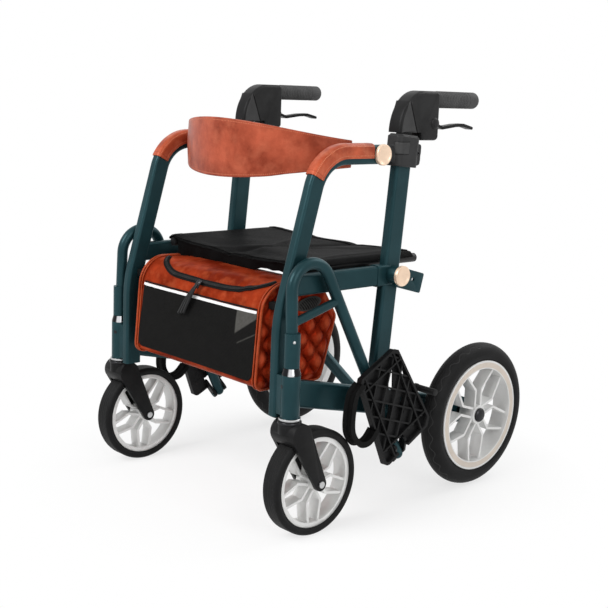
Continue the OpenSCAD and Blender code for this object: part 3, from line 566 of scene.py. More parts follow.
@dataclass(frozen=True)
class Finishes:
    """All finishes of the chair, by the maker's names."""

    frame: Paint = Paint("frame_paint", (0.0085, 0.032, 0.0375), (0.0135, 0.045, 0.053))
    bag: Leather = Leather("bag_leather", (0.365, 0.043, 0.0125), (0.165, 0.014, 0.0035),
                           (0.58, 0.125, 0.048), 0.30, 520.0, 0.0, 0.02, metal=0.22)
    # quilt leather: painted shade and highlight on the sewn diamonds
    quilt: Leather = Leather("quilt_leather", (0.36, 0.027, 0.0065), (0.12, 0.0075, 0.002),
                             (0.58, 0.105, 0.042), 0.28, 620.0, 0.0, 0.02, metal=0.22, diamonds=(0.040, 0.050))
    welt: Leather = Leather("welt_leather", (0.40, 0.060, 0.017), (0.25, 0.032, 0.008), (0.52, 0.13, 0.05),
                            0.30, 900.0, 0.0, 0.3)
    plastic: Moulded = Moulded("black_plastic", (0.0055, 0.0055, 0.0058), 0.40, 1800.0, 0.12, 0.0, 0.35, 0.12)
    pod: Moulded = Moulded("pod_plastic", (0.0105, 0.0105, 0.0107), 0.40, 1700.0, 0.14, 0.0, 0.4, 0.16)
    # paler plastic: painted light on the brake shells' flat sides, and the collar's raised panel
    panel: Moulded = Moulded("pod_panel", (0.038, 0.038, 0.0383), 0.44, 1700.0, 0.14, 0.0, 0.3, 0.16)
    collar: Moulded = Moulded("collar_plastic", (0.023, 0.023, 0.0235), 0.44, 1700.0, 0.14, 0.0, 0.3, 0.16)
    teeth: Woven = Woven("zip_teeth", (0.002, 0.002, 0.002), (0.045, 0.045, 0.045), 500.0, 0.5,
                         use_uv=(150.0, 1.0), relief=0.8)
    coat: Moulded = Moulded("black_coat", (0.006, 0.006, 0.0062), 0.40, 2400.0, 0.06)
    grip: Moulded = Moulded("grip_rubber", (0.060, 0.060, 0.0605), 0.66, 1500.0, 0.25)
    rim: Moulded = Moulded("silver_rim", (0.68, 0.68, 0.67), 0.34, 2200.0, 0.04, 0.25, 0.10, 0.5)
    cream: Moulded = Moulded("cream_ring", (0.60, 0.53, 0.46), 0.42, 2200.0, 0.04, 0.0, 0.08, 0.4)
    steel: Metal = Metal("satin_steel", (0.58, 0.585, 0.59), 0.30)
    dark: Metal = Metal("dark_steel", (0.035, 0.035, 0.037), 0.30)
    copper: Metal = Metal("pale_copper", (0.93, 0.70, 0.52), 0.30, 0.06, 0.5)
    seat: Woven = Woven("seat_cloth", (0.0035, 0.0035, 0.0036), (0.0078, 0.0078, 0.0080), 650.0, 0.55,
                        relief=0.4, sheen=0.02)
    # pocket net with a paler corner patch and a painted highlight streak
    net: Woven = Woven("pocket_net", (0.0015, 0.0015, 0.0015), (0.010, 0.0098, 0.0095), 420.0, 0.75, True,
                       lining=(0.12, 0.117, 0.108))
    mesh: Woven = Woven("window_net", (0.0015, 0.0015, 0.0015), (0.05, 0.049, 0.047), 160.0, 0.75, True)
    webbing: Woven = Woven("webbing", (0.005, 0.005, 0.005), (0.013, 0.013, 0.013), 500.0, 0.7)
    strip: Woven = Woven("reflective_strip", (0.74, 0.74, 0.74), (0.84, 0.84, 0.84), 700.0, 0.45, relief=0.15)


class Bench:
    """Modelling moves, done with Blender's own operators."""

    @staticmethod
    def clear() -> None:
        """Leaves edit mode and deselects everything."""
        if bpy.context.object and bpy.context.object.mode != "OBJECT":
            bpy.ops.object.mode_set(mode="OBJECT")
        bpy.ops.object.select_all(action="DESELECT")

    @classmethod
    def take(cls, obj: Piece) -> None:
        """Makes one piece the only selected and the active one."""
        cls.clear()
        obj.select_set(True)
        bpy.context.view_layer.objects.active = obj

    @staticmethod
    def name(name: str) -> Piece:
        """Names the piece that was just added, and its mesh."""
        obj = bpy.context.object
        obj.name = name
        obj.data.name = name
        return obj

    @classmethod
    def apply_all(cls, obj: Piece) -> None:
        """Applies every modifier of a piece in order."""
        cls.take(obj)
        for modifier in list(obj.modifiers):
            bpy.ops.object.modifier_apply(modifier=modifier.name)

    @classmethod
    def tidy(cls, obj: Piece, gap: float = 0.01 * MM, fill: bool = False) -> None:
        """Merges doubles, closes open ends if asked, and turns the faces outwards.

        Args:
            obj: piece to mend.
            gap: distance under which points are merged.
            fill: whether open ends are closed.
        """
        cls.take(obj)
        bpy.ops.object.mode_set(mode="EDIT")
        bpy.ops.mesh.select_all(action="SELECT")
        bpy.ops.mesh.remove_doubles(threshold=gap)
        if fill:
            bpy.ops.mesh.select_all(action="SELECT")
            bpy.ops.mesh.fill_holes(sides=0)
        bpy.ops.mesh.select_all(action="SELECT")
        bpy.ops.mesh.normals_make_consistent(inside=False)
        bpy.ops.object.mode_set(mode="OBJECT")

    @classmethod
    def smooth(cls, obj: Piece, angle: float = 35.0) -> None:
        """Shades a piece smooth up to an angle."""
        cls.take(obj)
        bpy.ops.object.shade_smooth_by_angle(angle=math.radians(angle))

    @classmethod
    def loft(cls, name: str, cells: tuple[int, int], shape: Shape, closed: bool = False,
             fill: bool = False) -> Piece:
        """Lays a grid on a surface.

        Args:
            name: name of the piece.
            cells: number of cells along the two directions.
            shape: surface, from two values between 0 and 1 to a point.
            closed: whether edges that meet are merged.
            fill: whether open ends are closed.

        Returns:
            The new piece.
        """
        cls.clear()
        bpy.ops.mesh.primitive_grid_add(x_subdivisions=cells[0], y_subdivisions=cells[1], size=1.0)
        obj = cls.name(name)
        for vertex in obj.data.vertices:
            vertex.co = shape(vertex.co.x + 0.5, vertex.co.y + 0.5)
        if closed:
            cls.tidy(obj, fill=fill)
        return obj

    @classmethod
    def thicken(cls, obj: Piece, depth: float, offset: float = 0.0, round_edge: float = 0.0,
                levels: int = 0, even: bool = True) -> None:
        """Gives a sheet its thickness, round edges and smoothness.

        Args:
            obj: sheet to finish.
            depth: thickness in metres.
            offset: side to which it grows, from -1 to 1.
            round_edge: width of the rounded rim.
            levels: subdivision levels.
            even: whether the wall stays even at sharp bends.
        """
        solid = obj.modifiers.new("Wall", "SOLIDIFY")
        solid.thickness = depth
        solid.offset = offset
        solid.use_even_offset = even
        if round_edge > 0.0:
            cls.bevel(obj, round_edge, 2, 50.0)
        if levels:
            cls.subdivide(obj, levels)
        cls.apply_all(obj)
        cls.smooth(obj, 40.0)

    @staticmethod
    def bevel(obj: Piece, width: float, segments: int = 2, angle: float = 30.0) -> None:
        """Adds a bevel to the sharp edges."""
        bevel = obj.modifiers.new("Bevel", "BEVEL")
        bevel.width = width
        bevel.segments = segments
        bevel.limit_method = "ANGLE"
        bevel.angle_limit = math.radians(angle)
        bevel.use_clamp_overlap = True

    @staticmethod
    def remesh(obj: Piece, voxel: float) -> None:
        """Adds a remesh with even cells."""
        remesh = obj.modifiers.new("Remesh", "REMESH")
        remesh.mode = "VOXEL"
        remesh.voxel_size = voxel

    @staticmethod
    def subdivide(obj: Piece, levels: int) -> None:
        """Adds subdivision with equal view and render levels."""
        subdivision = obj.modifiers.new("Smooth", "SUBSURF")
        subdivision.levels = levels
        subdivision.render_levels = levels

    @staticmethod
    def even(obj: Piece, rounds: int) -> None:
        """Adds rounds of smoothing."""
        even = obj.modifiers.new("Even", "SMOOTH")
        even.factor = 0.5
        even.iterations = rounds

    @classmethod
    def sheet(cls, name: str, cells: tuple[int, int], shape: Shape, depth: float, round_edge: float = 0.0,
              levels: int = 0, even: bool = True) -> Piece:
        """Lays a grid on a surface and gives it a wall to both sides.

        Args:
            name: name of the piece.
            cells: number of cells along the two directions.
            shape: surface, from two values between 0 and 1 to a point.
            depth: thickness in metres.
            round_edge: width of the rounded rim.
            levels: subdivision levels.
            even: whether the wall stays even at sharp bends.

        Returns:
            The new piece.
        """
        obj = cls.loft(name, cells, shape)
        cls.tidy(obj)
        cls.thicken(obj, depth, 0.0, round_edge, levels, even)
        return obj

    @classmethod
    def wrap(cls, obj: Piece, target: Piece, offset: float) -> None:
        """Lays a sheet on another piece's surface at a small distance."""
        wrap = obj.modifiers.new("Wrap", "SHRINKWRAP")
        wrap.target = target
        wrap.wrap_method = "NEAREST_SURFACEPOINT"
        wrap.wrap_mode = "ABOVE_SURFACE"
        wrap.offset = offset
        cls.apply_all(obj)

    @classmethod
    def sweep(cls, name: str, path: Sequence[Vector], section: Sequence[tuple[float, float]], up: Vector,
              loop: bool = False) -> Piece:
        """Draws a closed section along a path.

        Args:
            name: name of the piece.
            path: points of the path.
            section: points of the section, across and up.
            up: direction that the section's second axis keeps to.
            loop: whether the path closes on itself.

        Returns:
            The new piece.
        """
        steps, around = len(path) - (0 if loop else 1), len(section)

        def shape(u: float, w: float) -> Vector:
            """Point of the swept surface."""
            i = round(w * steps)
            a = path[i % len(path)]
            before = path[(i - 1) % len(path)] if loop or i > 0 else a
            after = path[(i + 1) % len(path)] if loop or i < steps else a
            tangent = (after - before).normalized()
            side = tangent.cross(up).normalized()
            top = side.cross(tangent)
            s, t = section[round(u * around) % around]
            return a + side * s + top * t

        obj = cls.loft(name, (around, steps), shape, True, not loop)
        cls.smooth(obj, 50.0)
        return obj

    @classmethod
    def lathe(cls, name: str, base: Vector, axis: Vector, shape: Sequence[tuple[float, float]],
              count: int = 48) -> Piece:
        """Turns a profile about an axis.

        Args:
            name: name of the piece.
            base: foot of the axis in millimetres.
            axis: direction of the axis.
            shape: radius and height of each point of the profile, in millimetres.
            count: steps round the axis.

        Returns:
            The new piece.
        """
        first = axis.orthogonal().normalized()
        second = axis.cross(first).normalized()
        steps = len(shape) - 1

        def turned(u: float, w: float) -> Vector:
            """Point of the turned surface."""
            radius, height = shape[round(w * steps)]
            a = math.tau * u
            return (base + axis * height + (first * math.cos(a) + second * math.sin(a)) * radius) * MM

        obj = cls.loft(name, (count, steps), turned, True)
        cls.smooth(obj, 38.0)
        return obj


def spline(points: Sequence[Point], count: int) -> list[Vector]:
    """Smooth path through points.

    Args:
        points: points in millimetres.
        count: number of steps.

    Returns:
        Points in metres, evenly shared between the given ones.
    """
    pts = [Vector(p) * MM for p in points]
    spans = len(pts) - 1
    path: list[Vector] = []
    for i in range(count + 1):
        t = i / count * spans
        k = min(int(t), spans - 1)
        f = t - k
        a, b, c, d = (pts[int(clamp(j, 0, spans))] for j in range(k - 1, k + 3))
        path.append(0.5 * (2 * b + (c - a) * f + (2 * a - 5 * b + 4 * c - d) * f * f
                           + (3 * b - a - 3 * c + d) * f ** 3))
    return path


def ring(radius: float, count: int) -> list[tuple[float, float]]:
    """Round section, counter-clockwise."""
    turns = [math.tau * i / count for i in range(count)]
    return [(radius * math.cos(a), radius * math.sin(a)) for a in turns]


def slab(width: float, depth: float) -> list[tuple[float, float]]:
    """Flat strap section with softened corners."""
    w, d, r = width / 2, depth / 2, depth * 0.3
    return [(-w, -d + r), (-w + r, -d), (w - r, -d), (w, -d + r),
            (w, d - r), (w - r, d), (-w + r, d), (-w, d - r)]


def puff(obj: Piece, voxel: float, pressure: float, cap: float,
         held: Callable[[Vector], float], steps: int = 20) -> None:
    """Fills a soft piece with air in a short cloth simulation and keeps the result.

    Args:
        obj: closed piece.
        voxel: size of its remeshed cells.
        pressure: air pressure.
        cap: farthest that a point may move.
        held: share from 0 to 1 by which a point is held.
        steps: frames to simulate.
    """
    Bench.remesh(obj, voxel)
    Bench.apply_all(obj)
    rest = [v.co.copy() for v in obj.data.vertices]
    cloth = obj.modifiers.new("Cloth", "CLOTH")
    cloth.settings.use_pressure = True
    cloth.settings.uniform_pressure_force = pressure
    cloth.settings.effector_weights.gravity = 0.0
    pin = obj.vertex_groups.new(name="held")
    for index, co in enumerate(rest):
        pin.add([index], held(co), "REPLACE")
    cloth.settings.vertex_group_mass = "held"
    scene = bpy.context.scene
    for frame in range(1, steps + 1):
        scene.frame_set(frame)
    shaped = obj.evaluated_get(bpy.context.evaluated_depsgraph_get()).data
    moved = [v.co.copy() for v in shaped.vertices]
    obj.modifiers.remove(cloth)
    scene.frame_set(1)
    for vertex, before, after in zip(obj.data.vertices, rest, moved):
        step = after - before
        vertex.co = before + step * min(1.0, cap / max(step.length, 1e-9))
    Bench.subdivide(obj, 1)
    Bench.apply_all(obj)
    Bench.smooth(obj, 80.0)


class Dresser:
    """Places pieces on bodies, with their finish and what they stand for."""

    def __init__(self, frame: dict) -> None:
        """Keeps the loaded frame and builds the finishes once."""
        self.frame = frame
        names = Finishes()
        self.finish = {key: getattr(names, key).build() for key in names.__dataclass_fields__}
        bodies = frame["record"]["behaviour"]["bodies"]
        self.body_of = {node: body for body, nodes in bodies.items() for node in nodes}
        self.slot_of = {s["node"]: s["material_slot"] for s in frame["record"]["subparts"]}

    def pick(self, material: Finish) -> Material:
        """Finish of that name, or the material itself."""
        return self.finish[material] if isinstance(material, str) else material

    def paint(self, obj: Piece, material: Finish) -> None:
        """Gives a piece one finish all over."""
        obj.data.materials.clear()
        obj.data.materials.append(self.pick(material))
        for polygon in obj.data.polygons:
            polygon.material_index = 0

    def place(self, obj: Piece, body: str, slot: str, material: Finish,
              stands_for: Iterable[str] = ()) -> Piece:
        """Puts a finished piece on its body.

        Args:
            obj: the piece.
            body: body that it moves with.
            slot: the record's material slot; not used.
            material: finish, or its name.
            stands_for: CAD nodes that it replaces.

        Returns:
            The same piece.
        """
        self.paint(obj, material)
        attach(obj, body)
        nodes = tuple(stands_for)
        if nodes:
            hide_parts(*nodes)
        LOG.info("%s rides on %s", obj.name, body)
        return obj

    def mount(self, obj: Piece, node: str, material: Finish, stands_for: Iterable[str] = ()) -> Piece:
        """Puts a piece on the body of a CAD node.

        Args:
            obj: the piece.
            node: the CAD node.
            material: finish, or its name.
            stands_for: CAD nodes that it replaces.

        Returns:
            The same piece.
        """
        return self.place(obj, self.body_of[node], self.slot_of[node], material, stands_for)

    def accent(self, obj: Piece, material: str, test: Callable[[Vector], bool]) -> None:
        """Gives some faces of a piece a second finish.

        Args:
            obj: the piece.
            material: name of the second finish.
            test: says of a face's middle whether it takes it.
        """
        obj.data.materials.append(self.finish[material])
        index = len(obj.data.materials) - 1
        for polygon in obj.data.polygons:
            if test(polygon.center):
                polygon.material_index = index

    def keep(self, node: str, material: Finish) -> None:
        """Leaves a CAD node showing, with a better finish."""
        obj = self.frame["nodes"][node]
        for slot in obj.material_slots:
            slot.material = self.pick(material)
        if not obj.material_slots:
            obj.data.materials.append(self.pick(material))
        LOG.info("%s kept", node)

    def copy(self, node: str) -> Piece:
        """Copy of a CAD node's mesh, as a new piece."""
        obj = bpy.data.objects.new(f"{node}_moulded", self.frame["nodes"][node].data.copy())
        bpy.context.scene.collection.objects.link(obj)
        return obj

    def soften(self, node: str, material: Finish, width: float, segments: int = 2,
               angle: float = 32.0) -> Piece:
        """Replaces a CAD node by a copy whose sharp edges are rounded.

        Args:
            node: node to copy.
            material: its finish.
            width: width of the rounding in metres.
            segments: steps in the rounding.
            angle: edges sharper than this are rounded.

        Returns:
            The new piece.
        """
        obj = self.copy(node)
        Bench.take(obj)
        bpy.ops.object.mode_set(mode="EDIT")
        bpy.ops.mesh.select_all(action="SELECT")
        bpy.ops.mesh.remove_doubles(threshold=WELD)
        bpy.ops.mesh.dissolve_limited(angle_limit=math.radians(0.6))
        bpy.ops.object.mode_set(mode="OBJECT")
        Bench.bevel(obj, width, segments, angle)
        Bench.apply_all(obj)
        Bench.smooth(obj, 30.0)
        return self.mount(obj, node, material, [node])

    def melt(self, node: str, material: Finish, voxel: float, rounds: int) -> Piece:
        """Replaces a CAD node by a remeshed copy with soft moulded edges.

        Args:
            node: node to copy.
            material: its finish.
            voxel: size of the new mesh's cells in metres.
            rounds: smoothing rounds.

        Returns:
            The new piece.
        """
        obj = self.copy(node)
        Bench.tidy(obj, WELD)
        Bench.remesh(obj, voxel)
        Bench.even(obj, rounds)
        Bench.apply_all(obj)
        Bench.smooth(obj, 75.0)
        return self.mount(obj, node, material, [node])


@dataclass
class Sided:
    """Something that the chair has on both sides."""

    side: Side

    def node(self, part: str) -> str:
        """Name of a part on this side, as the CAD nodes spell it."""
        return f"{self.side.word}_{part}"


@dataclass(frozen=True)
class Turned:
    """Small turned piece on the left side: its foot, axis and profile in millimetres."""

    name: str
    carrier: str
    finish: str
    base: Point
    axis: Point
    shape: Profile
    count: int = 72


OUT: Point = (1.0, 0.0, 0.0)
UP: Point = (0.0, 0.0, 1.0)
FITTINGS = (
    Turned("lever_boss", "brake_lever", "pod", (250.0, 63.0, 757.0), OUT, (
        (0.0, 3.6), (4.0, 3.5), (7.5, 3.0), (9.6, 2.2), (11.2, 1.0), (12.2, -0.6), (12.2, -1.0), (0.0, -1.0))),
    Turned("collar_screw", "collar", "dark", (252.5, 13.6, 700.0), OUT, (
        (0.0, 0.4), (1.8, 0.4), (2.2, 1.6), (3.4, 1.8), (4.0, 1.2), (4.2, -4.0), (0.0, -4.0))),
    Turned("stem_washer", "fork", "steel", (271.0, -314.0, 228.9), UP, (
        (17.0, 0.0), (19.8, 0.0), (20.4, 0.6), (20.4, 3.2), (19.8, 3.8), (17.0, 3.8), (17.0, 0.0))),
    Turned("stem_ring", "fork", "dark", (271.0, -314.0, 222.4), UP, (
        (19.0, 0.0), (21.8, 0.2), (22.4, 0.9), (22.4, 3.6), (21.8, 4.4), (19.0, 4.6), (19.0, 0.0))),
    Turned("rim_band", "rear_rim", "cream", (300.8, 206.0, 152.4), OUT, (
        (102.5, 0.0), (102.8, 0.7), (113.2, 0.7), (113.5, 0.0), (113.5, -0.5), (102.5, -0.5), (102.5, 0.0))))


@dataclass
class SideFrame(Sided):
    """One side frame with its wheels, handle and footrest."""

    head: tuple[float, float] = (271.0, -314.0)
    corner: Point = (243.0, -29.6, 710.3)
    corner_r: float = 12.1
    panel_size: tuple[float, float] = (14.0, 21.5)
    upright_slope: float = 0.0857
    soft: dict[str, tuple[str, float, int]] = field(default_factory=lambda: {
        "seat_rail": ("frame", 1.0, 2), "lower_rail": ("frame", 0.8, 2), "head_tube": ("frame", 1.2, 2),
        "rear_bracket": ("frame", 0.8, 2), "saddles": ("plastic", 1.0, 2), "fork": ("plastic", 3.2, 3),
        "brake_lever": ("plastic", 1.4, 2), "brake_arm": ("coat", 1.0, 2),
        "rear_axle": ("dark", 0.9, 2), "front_axle": ("steel", 0.6, 2), "front_rim": ("rim", 1.0, 2),
        "rear_rim": ("rim", 1.0, 2), "grip": ("grip", 0.5, 1), "footplate": ("plastic", 0.5, 1)})
    collar_cell: float = 1.2
    collar_rounds: int = 10
    caps: tuple[Point, ...] = ((245.5, -80.0, 698.0), (269.5, -35.0, 467.0))
    cap_shape: Profile = (
        (0.0, 3.6), (5.0, 3.8), (10.0, 4.6), (14.0, 5.9), (16.6, 7.2), (17.8, 7.9), (18.7, 8.0), (19.6, 7.5),
        (20.0, 6.4), (20.0, 1.5), (18.5, 0.0), (0.0, 0.0))
    button_shape: Profile = ((0.0, 2.0), (1.6, 1.8), (2.6, 1.1), (3.0, -2.0), (0.0, -2.0))
    hole_shape: Profile = ((0.0, 0.1), (2.6, 0.1), (2.9, 0.5), (3.6, 0.5), (3.9, -1.5), (0.0, -1.5))
    front_hub: Point = (0.271, -0.257, 0.1016)
    front_tyre: tuple[float, float, float] = (0.1016, 0.020, 60.0)
    rear_hub: Point = (0.2795, 0.206, 0.1524)
    # the last value is the share of the painted highlight along the tread's waved line
    rear_tyre: tuple[float, float, float, float] = (0.1524, 0.0225, 26.0, 0.55)
    plain: dict[str, str] = field(default_factory=lambda: {
        "front_tube": "frame", "upright": "frame", "hanger": "frame", "handle_post": "coat"})

    def build(self, dresser: Dresser) -> None:
        """Dresses every rigid node of the side."""
        for part, finish in self.plain.items():
            dresser.keep(self.node(part), finish)
        for part, (finish, width, segments) in self.soft.items():
            dresser.soften(self.node(part), finish, width * MM, segments)
        dresser.melt(self.node("collar"), "collar", self.collar_cell * MM, self.collar_rounds)
        self.trim(dresser)
        ring_axis = (self.side.value * self.head[0] * MM, self.head[1] * MM)
        # head ring whose colour holds painted reflection stripes
        dresser.keep(self.node("head_ring"), Chrome(self.node("chrome"), ring_axis).build())
        for name, hub, sizes in (("front_tyre", self.front_hub, self.front_tyre),
                                 ("rear_tyre", self.rear_hub, self.rear_tyre)):
            center = (self.side.value * hub[0], hub[1], hub[2])
            dresser.keep(self.node(name), Tyre(self.node(name), center, *sizes).build())

    def turn(self, dresser: Dresser, piece: Turned) -> None:
        """Makes one turned piece on this side and puts it on its carrier."""
        base, axis = (self.side.flip(Vector(v)) for v in (piece.base, piece.axis))
        obj = Bench.lathe(self.node(piece.name), base, axis, piece.shape, piece.count)
        dresser.mount(obj, self.node(piece.carrier), piece.finish)

    def trim(self, dresser: Dresser) -> None:
        """Dished caps, turned fittings, the collar's panel, and the footrest's button and lock hole."""
        for k, place in enumerate(self.caps):
            base, axis = self.side.flip(Vector(place)), self.side.flip(Vector(OUT))
            cap = Bench.lathe(self.node(f"cap_{k}"), base, axis, self.cap_shape)
            nodes = [self.node("caps")] if k == 0 else []
            dresser.place(cap, dresser.body_of[self.node("caps")], "copper", "copper", nodes)
        for piece in FITTINGS:
            self.turn(dresser, piece)
        self.panel(dresser)
        for name, carrier, finish, turn, z, reach, shape in (
                ("spring_button", "hanger", "steel", -29.0, 374.0, 14.4, self.button_shape),
                ("lock_hole", "head_tube", "dark", -111.0, 291.0, 17.4, self.hole_shape)):
            away = Vector((math.cos(math.radians(turn)), math.sin(math.radians(turn)), 0.0))
            base = Vector((*self.head, z)) + away * reach
            self.turn(dresser, Turned(name, carrier, finish, tuple(base), tuple(away), shape, 16))

    def panel(self, dresser: Dresser) -> None:
        """Raised panel round the collar's front outer corner, on a wider dark sheet whose rim is a painted
        shadow line.
        """
        face, height = self.panel_size
        x, y, mid = self.corner
        # the wider dark sheet under the panel paints a shadow line round its edge
        for name, wall, grow, finish in (("collar_edge", 1.4, 1.6, "plastic"),
                                         ("collar_panel", 3.0, 0.0, "panel")):
            def shape(u: float, w: float, grow: float = grow) -> Vector:
                """Point on the collar's face, from its outer side round the corner."""
                way = u * (face + self.corner_r * math.pi / 2 + 2 * grow) - grow
                rise = (w - 0.5) * (height + 2 * grow)
                turn = max(way - face, 0.0) / self.corner_r
                back = y + max(face - way, 0.0) - self.corner_r * math.sin(turn) + self.upright_slope * rise
                return self.side.flip(Vector((x + self.corner_r * math.cos(turn), back, mid + rise)) * MM)

            piece = Bench.sheet(self.node(name), (24, 6), shape, wall * MM, 0.5 * MM)
            dresser.mount(piece, self.node("collar"), finish)


@dataclass
class Pod(Sided):
    """Brake housing with its front shell: two moulded halves that meet at a leaning seam."""

    x: float = 231.0
    half: float = 19.0
    nose: float = -34.0
    depth: float = 66.0
    low: float = 739.0
    top: float = 819.0
    back: float = 76.0
    back_low: float = 724.0
    step: float = 24.0
    seam: tuple[float, float] = (0.0, 770.0)
    seam_lean: float = 21.7
    seam_gap: float = 0.9
    corner: float = 9.0
    shell_edge: float = 8.0
    housing_edge: float = 7.0
    shell_inset: float = 0.8
    panel_inset: float = 1.4
    dark_top: float = 3.5

    def front_y(self, z: float) -> float:
        """Front of the pod at a height: an oval that runs into the flat top."""
        rise = clamp((z - self.low) / (self.top - self.low), 0.0, 1.0)
        return self.nose + self.depth * (1.0 - math.sqrt(1.0 - rise * rise))

    def seam_y(self, z: float) -> float:
        """Seam at a height."""
        return self.seam[0] - (z - self.seam[1]) * math.tan(math.radians(self.seam_lean))

    def seam_top(self) -> float:
        """Height at which the seam meets the front."""
        low, high = self.low, self.top
        for _ in range(40):
            mid = (low + high) / 2
            low, high = (mid, high) if self.seam_y(mid) > self.front_y(mid) else (low, mid)
        return low

    def shell_line(self) -> list[Point]:
        """Outline of the shell: fore and aft, height, and share of the edge's rounding."""
        end = self.seam_top()
        line = [(self.front_y(z), z, clamp((self.seam_y(z) - self.front_y(z) - 1.0) / 14.0, 0.06, 1.0))
                for z in (self.low + (end - self.low) * i / 24 for i in range(25))]
        line += [(self.seam_y(z), z, 0.06) for z in (end - (end - self.low) * i / 16 for i in range(1, 17))]
        foot = self.seam_y(self.low)
        return line + [(foot + (self.front_y(self.low) - foot) * i / 8, self.low, 0.12) for i in range(1, 8)]

    def housing_line(self) -> list[Point]:
        """Outline of the rear half, in the same terms."""
        start, gap, r = self.seam_top(), self.seam_gap, self.corner
        rise = [start + (self.top - start) * math.sin(math.pi / 2 * i / 16) for i in range(17)]
        line = [(self.front_y(z) + 0.5 * gap, z, 1.0) for z in rise]
        first = line[-1][0]
        line += [(first + (self.back - r - first) * i / 10, self.top, 1.0) for i in range(1, 11)]
        for cy, cz, a0 in ((self.back - r, self.top - r, 90.0), (self.back - r, self.back_low + r, 0.0),
                           (self.step + r, self.back_low + r, -90.0)):
            share = 0.6 if cz < self.low else 0.85
            turns = [math.radians(a0 - 90.0 * i / 8) for i in range(1, 9)]
            line += [(cy + r * math.cos(a), cz + r * math.sin(a), share) for a in turns]
        line += [(self.step, self.low - 1.0, 0.2), (self.step - 1.0, self.low, 0.2),
                 (self.seam_y(self.low) + gap, self.low, 0.1)]
        seam = [self.low + (start - self.low) * i / 16 for i in range(1, 16)]
        return line + [(self.seam_y(z) + gap, z, 0.06) for z in seam]

    def mould(self, name: str, line: list[Point], half: float, edge: float) -> Piece:
        """Solid with rounded side edges.

        Args:
            name: name of the piece.
            line: its outline.
            half: half its width.
            edge: radius of the side edges.

        Returns:
            The new piece.
        """
        count = len(line)
        normals = []
        for i, here in enumerate(line):
            near = (line[(i + 1) % count], line[i - 1])
            ahead, behind = (p if abs(p[2] - here[2]) < 0.3 else here for p in near)
            d = Vector((ahead[0] - behind[0], ahead[1] - behind[1])).normalized()
            normals.append(Vector((d.y, -d.x)))
        turns = [math.pi / 2 * i / 7 for i in range(8)]
        stations = [(-half + edge * (1 - math.sin(a)), edge * (1 - math.cos(a))) for a in reversed(turns)]
        stations += [(-x, inset) for x, inset in reversed(stations)]

        def shape(u: float, w: float) -> Vector:
            """Point of the solid's skin."""
            x, inset = stations[round(w * (len(stations) - 1))]
            i = round(u * count) % count
            y, z, share = line[i]
            move = normals[i] * (inset * share)
            return self.side.flip(Vector((self.x + x, y + move.x, z + move.y)) * MM)

        obj = Bench.loft(name, (count, len(stations) - 1), shape, True, True)
        Bench.smooth(obj, 42.0)
        return obj

    def build(self, dresser: Dresser) -> None:
        """Makes both halves, with painted light on the shell's flat sides and painted shade on the housing's
        top.
        """
        carrier = self.node("brake_housing")
        half = self.half - self.shell_inset
        shell = self.mould(self.node("pod_shell"), self.shell_line(), half, self.shell_edge)
        housing = self.mould(self.node("pod_housing"), self.housing_line(), self.half, self.housing_edge)
        dresser.mount(shell, carrier, "plastic", [self.node("housing_shell")])
        dresser.mount(housing, carrier, "pod", [carrier])
        # painted light: paler finish on the shell's flat sides; painted shade: darker finish on the housing's
        # top
        lit_side_x = (self.half - self.panel_inset) * MM
        dresser.accent(shell, "panel", lambda c: abs(abs(c.x) - self.x * MM) > lit_side_x)
        dresser.accent(housing, "plastic", lambda c: c.z > (self.top - self.dark_top) * MM)


